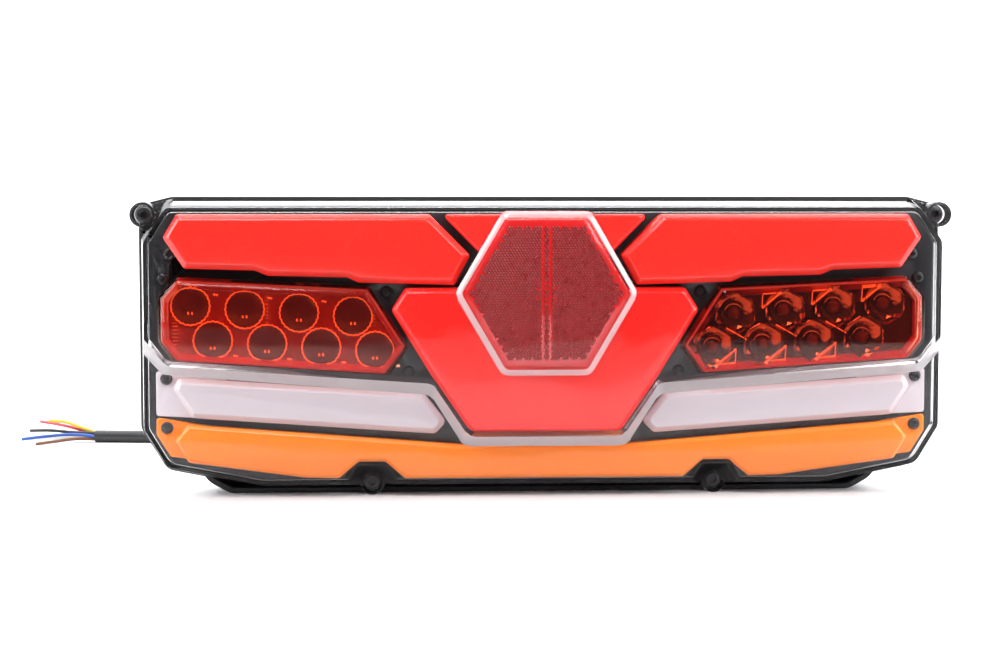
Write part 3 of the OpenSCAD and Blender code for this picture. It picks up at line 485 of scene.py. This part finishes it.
def joined(name, parts):
    """One mesh of several objects, which are removed."""
    bm = bmesh.new()
    for part in parts:
        bm.from_mesh(part.data)
        bpy.data.objects.remove(part)
    mesh = bpy.data.meshes.new(name)
    bm.to_mesh(mesh)
    bm.free()
    return new_object(name, mesh)


cable = lay_cable()
core_pieces = spread_cores()


# ---- Geometry Nodes ----
# A figure is set at each point of a cloud. Each cloud comes from a list of places of the CAD model.

def add(tree, kind, **sockets):
    node = tree.nodes.new(kind)
    for label, value in sockets.items():
        socket = node.inputs[label.replace("_", " ")]
        if hasattr(value, "is_output"):
            tree.links.new(value, socket)
        else:
            socket.default_value = value
    return node


def scatter_group():
    """Sets a copy of the figure on every point of the incoming mesh."""
    tree = bpy.data.node_groups.new("set_on_points", "GeometryNodeTree")
    tree.interface.new_socket("Geometry", in_out="INPUT", socket_type="NodeSocketGeometry")
    tree.interface.new_socket("Figure", in_out="INPUT", socket_type="NodeSocketObject")
    tree.interface.new_socket("Scale", in_out="INPUT", socket_type="NodeSocketFloat").default_value = 1.0
    tree.interface.new_socket("Turn", in_out="INPUT", socket_type="NodeSocketFloat")
    tree.interface.new_socket("Random Turn", in_out="INPUT", socket_type="NodeSocketFloat")
    tree.interface.new_socket("Material", in_out="INPUT", socket_type="NodeSocketMaterial")
    tree.interface.new_socket("Geometry", in_out="OUTPUT", socket_type="NodeSocketGeometry")
    into, out = tree.nodes.new("NodeGroupInput"), tree.nodes.new("NodeGroupOutput")
    figure = add(tree, "GeometryNodeObjectInfo", Object=into.outputs["Figure"])
    points = add(tree, "GeometryNodeMeshToPoints", Mesh=into.outputs["Geometry"])
    chance = tree.nodes.new("FunctionNodeRandomValue")
    chance.data_type = "FLOAT"
    chance.inputs["Seed"].default_value = 7
    swing = math_node(tree, "MULTIPLY", chance.outputs[1], into.outputs["Random Turn"])
    total = math_node(tree, "ADD", swing, into.outputs["Turn"])
    turn = add(tree, "ShaderNodeCombineXYZ", Y=total)
    copies = add(tree, "GeometryNodeInstanceOnPoints", Points=points.outputs["Points"],
                 Instance=figure.outputs["Geometry"], Rotation=turn.outputs[0], Scale=into.outputs["Scale"])
    real = add(tree, "GeometryNodeRealizeInstances", Geometry=copies.outputs["Instances"])
    painted = add(tree, "GeometryNodeSetMaterial", Geometry=real.outputs[0], Material=into.outputs["Material"])
    tree.links.new(painted.outputs[0], out.inputs["Geometry"])
    return tree


SCATTER = scatter_group()


def scattered(name, places, figure, material, turn=0.0, random_turn=0.0, scale=1.0):
    """A plain mesh of the figure repeated at places in millimetres. The figure is then removed."""
    piece = new_object(name, mesh_of(name, [Vector(p) * MM for p in places], []))
    figure.hide_render = figure.hide_viewport = False
    modifier = piece.modifiers.new("copies", "NODES")
    modifier.node_group = SCATTER
    values = {"Figure": figure, "Scale": scale, "Turn": turn, "Random Turn": random_turn, "Material": material}
    for item in SCATTER.interface.items_tree:
        if item.in_out == "INPUT" and item.name in values:
            modifier[item.identifier] = values[item.name]
    piece = freeze(piece)
    bpy.data.objects.remove(figure)
    return piece


# ---- Turned and swept forms. Their axis is Y, and depth is measured back from the window's front ----

HALF_DEPTH = 42.0


def at_depth(d):
    return (d - HALF_DEPTH) * MM


def lathe(name, profile, sides=48, lobes=None, closed=False):
    """A form turned about Y through (radius, depth) pairs, front to back. lobes(angle, ring) scales a ring."""
    points, faces = [], []
    for k, (r, d) in enumerate(profile):
        for i in range(sides):
            a = math.tau * i / sides
            rr = r * (lobes(a, k) if lobes else 1.0) * MM
            points.append((rr * math.cos(a), d * MM, rr * math.sin(a)))
    for k in range(len(profile) - 1):
        for i in range(sides):
            j = (i + 1) % sides
            faces.append((k * sides + i, k * sides + j, (k + 1) * sides + j, (k + 1) * sides + i))
    if closed:
        last = (len(profile) - 1) * sides
        faces += [(last + i, last + (i + 1) % sides, (i + 1) % sides, i) for i in range(sides)]
    elif profile[0][0] > 0:
        faces.append(tuple(range(sides - 1, -1, -1)))
    if profile[-1][0] > 0 and not closed:
        faces.append(tuple((len(profile) - 1) * sides + i for i in range(sides)))
    return new_object(name, with_normals_out(mesh_of(name, points, faces), merge=1e-7))


# ---- Finished mouldings ----

lens = moulded("outer_lens", FINISH["clear_lens"], "clear_lens", edge=0.45, segments=3, angle=28)


STEP_CREST, STEP_FOOT, RIM_FOOT = 2.0, 12.4, 2.4  # depths in millimetres
STEP_Z = (0.024, 0.08)
RIM_HALF_W = 0.044


def paint_sheen_on_slopes(piece):
    """The slopes of the step and of the window's rim get a second, whitish material: a painted sheen for the light
    these clear slopes catch.
    """
    piece.data.materials.append(FINISH["lens_frost"])
    for face in piece.data.polygons:
        c, n = face.center, face.normal
        on_step = at_depth(STEP_CREST) < c.y < at_depth(STEP_FOOT) and n.z < -0.3 and STEP_Z[0] < c.z < STEP_Z[1]
        on_rim = c.y < at_depth(RIM_FOOT) and abs(c.x) < RIM_HALF_W and math.hypot(n.x, n.z) > 0.3
        if -0.95 < n.y < -0.25 and (on_step or on_rim):
            face.material_index = 1


paint_sheen_on_slopes(lens)
for side in ("left", "right"):
    moulded("tail_diffuser_" + side, FINISH["opal_red"], "opal_red", edge=0.5)
    moulded("led_cover_" + side, FINISH["cover_red"], "cover_red", edge=0.5)
    moulded("reverse_diffuser_" + side, FINISH["opal_white"], "opal_white", edge=0.2)
moulded("centre_top_diffuser", FINISH["opal_red"], "opal_red", edge=0.4)
moulded("stop_diffuser", FINISH["stop_red"], "stop_red", edge=0.6)
moulded("indicator_diffuser", FINISH["opal_amber"], "opal_amber", edge=0.5)
moulded("carrier", FINISH["carrier_black"], "carrier_black", edge=0.25)
moulded("housing", FINISH["housing_black"], "housing_black", edge=0.4)
moulded("lens_gasket", FINISH["gasket_rubber"], "gasket_rubber", edge=0.2)


# ---- Screws ----

def cut(piece, tool):
    """Takes one closed form out of another."""
    modifier = piece.modifiers.new("cut", "BOOLEAN")
    modifier.object = tool
    modifier.operation = "DIFFERENCE"
    modifier.solver = "EXACT"
    piece = freeze(piece)
    bpy.data.objects.remove(tool)
    return piece


def prism(name, outline, y0, y1):
    """A straight prism along Y from an outline of (x, z) pairs, all in millimetres."""
    n = len(outline)
    points = [(x * MM, y * MM, z * MM) for y in (y0, y1) for x, z in outline]
    faces = [tuple(range(n)), tuple(range(2 * n - 1, n - 1, -1))]
    faces += [(i, n + i, n + (i + 1) % n, (i + 1) % n) for i in range(n)]
    return new_object(name, with_normals_out(mesh_of(name, points, faces)))


def cross_outline(arm, half):
    return [(half, half), (half, arm), (-half, arm), (-half, half), (-arm, half), (-arm, -half),
            (-half, -half), (-half, -arm), (half, -arm), (half, -half), (arm, -half), (arm, half)]


def star_outline(r, depth, lobes=6, steps=60):
    turns = [math.tau * i / steps for i in range(steps)]
    reaches = [r + depth * math.cos(lobes * math.tau * i / steps) for i in range(steps)]
    return [(reach * math.cos(a), reach * math.sin(a)) for a, reach in zip(turns, reaches)]


def screw_figure(name, profile, recess, depth, top):
    head = lathe(name, profile)
    made = cut(head, prism("recess", recess, top - 1, top + depth))
    smooth(made.data, 35)
    return made


# Profiles run from the middle of the head to the tip, as (radius, depth) pairs
LENS_PROFILE = [(0, -2.95), (2.9, -2.95), (3.35, -2.8), (3.65, -2.45), (3.72, -2.0), (3.72, -0.55), (4.28, -0.5),
                (4.34, -0.4), (4.34, -0.06), (4.28, 0), (2.0, 0), (2.0, 16.9), (0, 17)]
SMALL_PROFILE = [(0, -1.6), (1.3, -1.58), (2.2, -1.35), (2.7, -0.85), (2.85, -0.3), (2.85, 0), (1.3, 0), (1.3, 4.9),
                 (0, 5.2)]
LENS_SCREW = screw_figure("lens_screw", LENS_PROFILE, star_outline(1.75, 0.3), 1.8, -2.95)
SMALL_SCREW = screw_figure("small_screw", SMALL_PROFILE, cross_outline(1.45, 0.36), 1.0, -1.6)
LENS_SCREW_PLACES = [(s * x, at_depth(25) / MM, z) for s in (-1, 1) for x, z in ((188.2, 133.5), (81.7, 6.4))]
CARRIER_SCREW_PLACES = [(s * x, at_depth(20) / MM, z) for s in (-1, 1) for x, z in ((74.7, 97.1), (64.2, 59.2))]
MODULE_SCREWS = ((176.1, 114.8, 20), (179.2, 103.3, 20), (178.1, 56.5, 18.4), (177.9, 33.3, 18.4))
MODULE_SCREW_PLACES = [(s * x, at_depth(d) / MM, z) for s in (-1, 1) for x, z, d in MODULE_SCREWS]
SMALL_TWIN = SMALL_SCREW.copy()
SMALL_TWIN.data = SMALL_SCREW.data.copy()
SCENE.collection.objects.link(SMALL_TWIN)
BLACK_SCREW = FINISH["black_screw"]
SCREW_SETS = [("lens_screw_set", LENS_SCREW_PLACES, LENS_SCREW, "lens_screws"),
              ("carrier_screw_set", CARRIER_SCREW_PLACES, SMALL_SCREW, "carrier_screws"),
              ("module_screw_set", MODULE_SCREW_PLACES, SMALL_TWIN, "module_screws")]
for set_name, set_places, screw, screw_node in SCREW_SETS:
    dress(scattered(set_name, set_places, screw, BLACK_SCREW, random_turn=2.0), BLACK_SCREW, "black_screw", screw_node)


# ---- Reflex reflector: a moulded plate with rows of corner prisms ----

HEX_CENTRE_Z = 97.0
PRISM_PITCH = 1.36
PIN_PITCH = 4.2
FIELD_HALF_W, FIELD_HALF_H, FIELD_TOP = 37.6, 32.6, 18.6
PLATE_HALF_W, PLATE_HALF_H, PLATE_TOP = 39.4, 34.4, 19.4
PLAIN_LINE_X, PLAIN_LINE_HALF_W = 1.75, 0.5
REFLECTOR_FACE, REFLECTOR_BACK = 3.05, 5.6
PRISM_RISE = 0.42


def inside_hexagon(x, z, inset=0.0):
    """True inside the prism field's outline."""
    hw, hh, ht = FIELD_HALF_W, FIELD_HALF_H, FIELD_TOP
    slope = (hw - ht) / hh
    reach = (hw - abs(z) * slope - abs(x)) / math.hypot(1, slope)
    return abs(z) < hh - inset and reach > inset


def pin_of(x, z):
    """Centre of the bundle of prisms that a point belongs to."""
    dx, dz = PIN_PITCH, PIN_PITCH * math.sqrt(3) / 2
    best = None
    row = round(z / dz)
    for r in (row - 1, row, row + 1):
        shift = 0.5 * dx * (r % 2)
        col = round((x - shift) / dx)
        for c in (col - 1, col, col + 1):
            q = (c * dx + shift, r * dz)
            d = math.hypot(q[0] - x, q[1] - z)
            if best is None or d < best[0]:
                best = (d, q)
    return best


def prism_places():
    """Where the corner prisms stand: whole bundles only, which leaves a scalloped edge, and two plain lines."""
    found = []
    dz = PRISM_PITCH * math.sqrt(3) / 2
    for r in range(-28, 29):
        for c in range(-32, 33):
            x, z = (c + 0.5 * (r % 2)) * PRISM_PITCH, r * dz
            near, pin = pin_of(x, z)
            clear_of_lines = abs(abs(x) - PLAIN_LINE_X) > PLAIN_LINE_HALF_W
            if inside_hexagon(*pin, inset=0.4) and near < PIN_PITCH * 0.56 and clear_of_lines:
                found.append((x, at_depth(REFLECTOR_FACE) / MM, z + HEX_CENTRE_Z))
    return found


def corner_prism():
    """One corner prism, six-sided, with three square facets."""
    r = PRISM_PITCH / math.sqrt(3) * 0.985 * MM
    points = [(0, -PRISM_RISE * MM, 0)]
    for k in range(6):
        a = math.tau * k / 6 + math.pi / 6
        points.append((r * math.cos(a), -PRISM_RISE * MM * (0.5 if k % 2 else 0.0), r * math.sin(a)))
    faces = [(0, 1 + k, 1 + (k + 1) % 6, 1 + (k + 2) % 6) for k in (1, 3, 5)]
    return new_object("corner_prism", mesh_of("corner_prism", points, [f[::-1] for f in faces]))


REFLEX, REFLEX_RIM = FINISH["reflex_red"], FINISH["reflex_rim"]
dress(scattered("reflector_prisms", prism_places(), corner_prism(), REFLEX), REFLEX, "reflex_red", "reflex_reflector")
HEXAGON = [(PLATE_HALF_W, 0), (PLATE_TOP, PLATE_HALF_H), (-PLATE_TOP, PLATE_HALF_H), (-PLATE_HALF_W, 0),
           (-PLATE_TOP, -PLATE_HALF_H), (PLATE_TOP, -PLATE_HALF_H)]
plate = prism("reflector_plate", [(x, z + HEX_CENTRE_Z) for x, z in HEXAGON],
              at_depth(REFLECTOR_FACE + 0.02) / MM, at_depth(REFLECTOR_BACK) / MM)
plate = bevelled(plate, 0.3 * MM, 2)
smooth(plate.data, 35)
dress(plate, REFLEX_RIM, "reflex_red", "reflex_reflector")


# ---- LED modules ----

# Outermost place of each row of four as (x, z, pitch); the rows fall inward by the slope
LED_ROWS, LED_SLOPE = ((165.9, 91.0, 25.2), (155.6, 74.7, 25.2)), 0.065
CUP_ROWS, CUP_SLOPE = ((161.5, 91.4, 23.8), (151.6, 75.4, 23.9)), 0.063
LED_PLACES = [(x - k * pitch, z - k * pitch * LED_SLOPE) for x, z, pitch in LED_ROWS for k in range(4)]
CUP_PLACES = [(x - k * pitch, z - k * pitch * CUP_SLOPE) for x, z, pitch in CUP_ROWS for k in range(4)]
COVER_INSIDE = [(76.0, 59.8), (171.7, 66.2), (178.4, 75.0), (178.4, 93.6), (171.4, 102.4), (83.8, 98.0), (66.8, 71.8)]
LEFT_COVER_INSIDE = [(-x, z) for x, z in reversed(COVER_INSIDE)]
# Depths of what lies in the modules, in millimetres
LINING_WIDTH, LINING_FRONT, LINING_BACK = 2.6, 12.3, 16.6
OPTIC_DEPTH, WEB_FRONT, WEB_BACK, SLOT_FRONT = 14.9, 14.6, 15.8, 13.9
CUP_MOUTH, FRAME_BACK, PLATE_FRONT, PLATE_BACK = 12.9, 14.6, 16.95, 17.3


def optic_figure():
    """One round optic: a shallow dome over a cone."""
    profile = [(0, -2.3), (4.2, -2.05), (6.6, -1.55), (8.1, -0.95), (8.7, -0.6), (8.7, 1.0), (6.0, 4.6), (3.4, 4.6),
               (0, 3.6)]
    return lathe("optic", profile, sides=88)


def rim_figure():
    """The scalloped rim round an optic, bright from its glowing finish: a painted highlight."""
    def scallop(angle, ring):
        return 1.0 + 0.02 * math.cos(24 * angle)
    outline = [(8.62, -1.0), (8.85, -1.3), (9.15, -1.3), (9.35, -1.0), (9.35, -0.2), (8.62, -0.2)]
    return lathe("optic_rim", outline, sides=144, lobes=scallop, closed=True)


def painted_glint_figure():
    """The two dies that show through an optic, glowing in the bright optic finish: painted glints."""
    return joined("glint", [prism("die", [(x - 0.45, -4.0), (x + 0.45, -4.0), (x + 0.3, -2.7), (x - 0.3, -2.7)],
                                  -2.25, -1.9) for x in (-0.9, 0.9)])


def rib_plate(name, outline, y_face, y_back, pitch=1.7, depth=0.9):
    """A plate whose face has fine wavy ribs. outline is of (x, z) pairs, anticlockwise."""
    bm = bmesh.new()
    corners = [bm.verts.new((x * MM, 0, z * MM)) for x, z in outline]
    bm.faces.new(corners)
    x0, x1 = min(x for x, z in outline), max(x for x, z in outline)
    z0, z1 = min(z for x, z in outline), max(z for x, z in outline)
    for lo, hi, way in ((x0, x1, (1, 0, 0)), (z0, z1, (0, 0, 1))):
        step = pitch / 2 if way[2] else 2.0
        k = lo + step
        while k < hi:
            whole = bm.verts[:] + bm.edges[:] + bm.faces[:]
            bmesh.ops.bisect_plane(bm, geom=whole, plane_co=[c * k * MM for c in way], plane_no=way)
            k += step
    for v in bm.verts:
        x, z = v.co.x / MM, v.co.z / MM
        wave = 0.9 * math.sin(x * 0.75)
        v.co.y = (y_face + depth * (0.5 - 0.5 * math.cos(math.tau * (z + wave) / pitch))) * MM
    mesh = bpy.data.meshes.new(name)
    bmesh.ops.recalc_face_normals(bm, faces=bm.faces)
    if sum(f.normal.y for f in bm.faces) > 0:
        bmesh.ops.reverse_faces(bm, faces=bm.faces)
    bm.to_mesh(mesh)
    bm.free()
    solid = new_object(name, mesh).modifiers.new("thick", "SOLIDIFY")
    solid.thickness = (y_back - y_face) * MM
    solid.offset = -1.0
    return freeze(solid.id_data)


def optics_y(d):
    return at_depth(d) / MM


def inset_outline(outline, width):
    """An anticlockwise outline moved in by a width."""
    moved = []
    for i, p in enumerate(outline):
        a, b, c = (Vector(outline[i - 1]), Vector(p), Vector(outline[(i + 1) % len(outline)]))
        n0, n1 = ((b - a).normalized(), (c - b).normalized())
        n0, n1 = Vector((-n0.y, n0.x)), Vector((-n1.y, n1.x))
        moved.append(tuple(b + (n0 + n1) * (width / (1 + n0.dot(n1)))))
    return moved


def lining(name, outline, width, d0, d1):
    """A frame that follows an outline, with a face that slopes inward."""
    rings = [(inset_outline(outline, -0.3), d0), (inset_outline(outline, width * 0.35), d0),
             (inset_outline(outline, width), d1), (inset_outline(outline, -0.3), d1)]
    n = len(outline)
    points = [(x * MM, at_depth(d), z * MM) for ring, d in rings for x, z in ring]
    faces = [(k * n + i, k * n + (i + 1) % n, ((k + 1) % 4) * n + (i + 1) % n, ((k + 1) % 4) * n + i)
             for k in range(4) for i in range(n)]
    return bevelled(new_object(name, with_normals_out(mesh_of(name, points, faces))), 0.15 * MM, 2)


def left_module():
    def show(piece, finish):
        dress(piece, FINISH[finish], "optics_clear", "led_optics_left")

    places = [(-x, optics_y(OPTIC_DEPTH), z) for x, z in LED_PLACES]
    optic, rim, glint = optic_figure(), rim_figure(), painted_glint_figure()
    smooth(optic.data, 40)
    show(scattered("optics", places, optic, FINISH["optic_dark"]), "optic_dark")
    # The rims and dies get the glowing optic finish: painted highlights and glints.
    show(scattered("optic_rims", places, rim, FINISH["optic_bright"]), "optic_bright")
    show(scattered("optic_dies", places, glint, FINISH["optic_bright"]), "optic_bright")
    show(lining("lining_left", LEFT_COVER_INSIDE, LINING_WIDTH, LINING_FRONT, LINING_BACK), "lining_red")
    slots = [stroke("slot", (-x + dx, z - drop), (-x + dx + 2.2, z - drop - 0.1), 1.1, SLOT_FRONT, WEB_FRONT)
             for x, z in LED_PLACES[4:] for dx, drop in ((-12.4, 8.6), (9.4, 7.2))]
    slots += [stroke("slot", (-x + 10.6, z + 5.4), (-x + 12.8, z + 5.1), 0.9, SLOT_FRONT, WEB_FRONT)
              for x, z in LED_PLACES[:3]]
    # The slots glow in the same finish: painted highlights.
    show(joined("optic_slots", slots), "optic_bright")
    ribs = rib_plate("optic_web", LEFT_COVER_INSIDE, optics_y(WEB_FRONT), optics_y(WEB_BACK))
    smooth(ribs.data, 50)
    show(ribs, "optic_web")


CUP_FACETS = 18
CUP_RINGS = [(10.9, 0.0), (9.6, 0.9), (8.0, 2.0), (6.3, 3.1), (4.7, 3.9), (3.4, 4.5)]


def cup_figure():
    """One faceted cup, six-sided at its mouth."""
    points, faces = [], []
    for k, (r, d) in enumerate(CUP_RINGS):
        for i in range(CUP_FACETS):
            a = math.tau * (i + 0.5 * (k % 2)) / CUP_FACETS
            edge = math.cos(math.pi / 6) / math.cos((a + math.pi / 6) % (math.pi / 3) - math.pi / 6)
            share = max(0.0, 1.0 - k * 0.35)
            jitter = 0.35 * math.sin(12.9 * i + 7.7 * k) if 0 < k < len(CUP_RINGS) - 1 else 0.0
            rr = r * (share * edge + 1 - share)
            points.append((rr * math.cos(a) * MM, (d + jitter) * MM, rr * math.sin(a) * MM))
    for k in range(len(CUP_RINGS) - 1):
        for i in range(CUP_FACETS):
            j = (i + 1) % CUP_FACETS
            a, b, c, e = (k * CUP_FACETS + i, k * CUP_FACETS + j, (k + 1) * CUP_FACETS + i, (k + 1) * CUP_FACETS + j)
            faces += [(a, b, e), (a, e, c)] if k % 2 else [(a, b, c), (b, e, c)]
    cup = new_object("cup", mesh_of("cup", points, faces))
    thick = cup.modifiers.new("thick", "SOLIDIFY")
    thick.thickness = 0.3 * MM
    thick.offset = 1.0
    return freeze(cup)


def stroke(name, start, end, width, d0, d1):
    """A straight bar between two (x, z) places."""
    a, b = Vector(start), Vector(end)
    way = (b - a).normalized()
    side = Vector((-way.y, way.x)) * width / 2
    outline = [tuple(a + side), tuple(a - side), tuple(b - side), tuple(b + side)]
    return prism(name, outline, optics_y(d0), optics_y(d1))


def column_frames():
    """The thin frames between the slanted columns: a triangle at the top, one at the bottom, a bar between."""
    slant = (Vector(CUP_PLACES[0]) - Vector(CUP_PLACES[4])).normalized()
    strokes = []
    for k in range(3):
        high = (Vector(CUP_PLACES[k]) + Vector(CUP_PLACES[k + 1])) / 2
        low = (Vector(CUP_PLACES[4 + k]) + Vector(CUP_PLACES[5 + k])) / 2
        for foot, way in ((high + slant * 2.0, slant), (low - slant * 2.0, -slant)):
            tip = foot + way * 8.5
            wide = Vector((4.6, 0.3)) * (1 if way.y > 0 else -1)
            strokes.append(stroke("frame", tip - wide * 0.9, tip + wide, 0.7, CUP_MOUTH, FRAME_BACK))
            strokes.append(stroke("frame", foot, tip + wide, 0.8, CUP_MOUTH, FRAME_BACK))
            strokes.append(stroke("frame", foot, tip - wide * 0.9, 0.35, CUP_MOUTH + 0.5, FRAME_BACK))
        middle = high - slant * 9.0
        strokes.append(stroke("frame", middle + Vector((-11.2, 0)), middle + Vector((-1.5, -5.6)), 0.4,
                              CUP_MOUTH, FRAME_BACK))
    return joined("cup_strokes", strokes)


def right_module():
    def show(piece, finish):
        dress(piece, FINISH[finish], "cup_metal", "led_cups_right")

    places = [(x, optics_y(CUP_MOUTH), z) for x, z in CUP_PLACES]
    dome = lathe("led_dome", [(0, 0.9), (1.6, 1.2), (2.7, 2.1), (3.2, 3.4), (3.25, 4.7), (0, 4.7)])
    smooth(dome.data, 50)
    show(scattered("cups", places, cup_figure(), FINISH["cup_metal"]), "cup_metal")
    show(scattered("led_domes", places, dome, FINISH["optic_dark"]), "optic_dark")
    # The column frames glow in the bright optic finish: painted highlights.
    show(column_frames(), "optic_bright")
    show(lining("lining_right", COVER_INSIDE, LINING_WIDTH, LINING_FRONT, LINING_BACK), "lining_red")
    show(prism("cup_plate", COVER_INSIDE, optics_y(PLATE_FRONT), optics_y(PLATE_BACK)), "cup_frame")


left_module()
right_module()


# ---- What carries over from the CAD as it is ----

CARRIED = {
    "reflector_backing": "backing_red",
    "led_board_left": "board_green", "led_board_right": "board_green",
    "led_chips_left": "led_yellow", "led_chips_right": "led_yellow",
    "tail_board_left": "board_green", "tail_board_right": "board_green", "tail_leds": "led_yellow",
    "stop_board": "board_green", "stop_leds": "led_yellow",
    "reverse_board_left": "board_green", "reverse_board_right": "board_green", "reverse_leds": "led_yellow",
    "indicator_board": "board_green", "indicator_leds": "led_yellow",
    "control_board": "board_green", "board_screws": "zinc_screw", "board_coils": "part_grey",
    "board_capacitors": "can_metal", "board_header": "connector_white", "header_plug": "connector_white",
    "inner_leads": "inner_wire", "gland_locknut": "gland_black", "cable_gland": "gland_black",
    "gland_nut": "gland_black", "gland_seal": "seal_rubber", "vent_plug": "vent_grey",
    "mounting_studs": "stud_zinc", "cable_tie": "tie_black",
}
for node, slot in CARRIED.items():
    mesh = NODES[node].data
    mesh.materials.clear()
    mesh.materials.append(FINISH[slot])


# ---- Floor and light: not part of the lamp ----

def pale_floor():
    """A floor that ends just in front of the view and bends up into a backdrop far behind, in metres."""
    half, rise, bend, front, back = 4.5, 3.0, 0.6, -0.43, 2.2
    arc = [math.radians(d) for d in range(9, 91, 9)]
    rows = [(front, 0.0), (back, 0.0)]
    rows += [(back + bend * math.sin(a), bend * (1 - math.cos(a))) for a in arc]
    rows += [(back + bend, rise)]
    points = [(x, y, z) for y, z in rows for x in (-half, half)]
    faces = [(2 * k, 2 * k + 1, 2 * k + 3, 2 * k + 2) for k in range(len(rows) - 1)]
    floor = new_object("floor", mesh_of("floor", points, faces))
    floor.data.materials.append(finish_of("floor_white", (0.86, 0.86, 0.87), 0.6, mottle=0.01, relief=0.0))
    smooth(floor.data, 60)


def soft_light(name, place, size, watts, colour=(1, 1, 1), target=(0, 0, 0.07)):
    data = bpy.data.lights.new(name, "AREA")
    data.shape = "RECTANGLE"
    data.size, data.size_y = size
    data.energy = watts
    data.color = colour
    light = bpy.data.objects.new(name, data)
    light.location = place
    light.rotation_euler = (Vector(target) - Vector(place)).to_track_quat("-Z", "Y").to_euler()
    SCENE.collection.objects.link(light)


pale_floor()
world = bpy.data.worlds.new("studio")
world.use_nodes = True
world.node_tree.nodes["Background"].inputs["Color"].default_value = (0.95, 0.96, 1.0, 1)
world.node_tree.nodes["Background"].inputs["Strength"].default_value = 0.12
SCENE.world = world
soft_light("key", (-0.35, -0.55, 1.15), (0.7, 0.35), 9)
soft_light("fill", (0.7, -0.75, 0.75), (0.4, 0.5), 4.5)
soft_light("top", (0.0, 0.1, 1.2), (1.6, 0.5), 10)
soft_light("strip_left", (-0.9, -0.15, 0.35), (0.25, 0.7), 4)
soft_light("strip_right", (0.9, -0.1, 0.35), (0.25, 0.7), 4)
soft_light("back", (0.0, 0.75, 1.1), (2.4, 0.8), 34, target=(0, 1.3, 0.2))
soft_light("backdrop", (0.0, 1.7, 1.9), (4.0, 1.0), 110, target=(0, 2.6, 0.4))
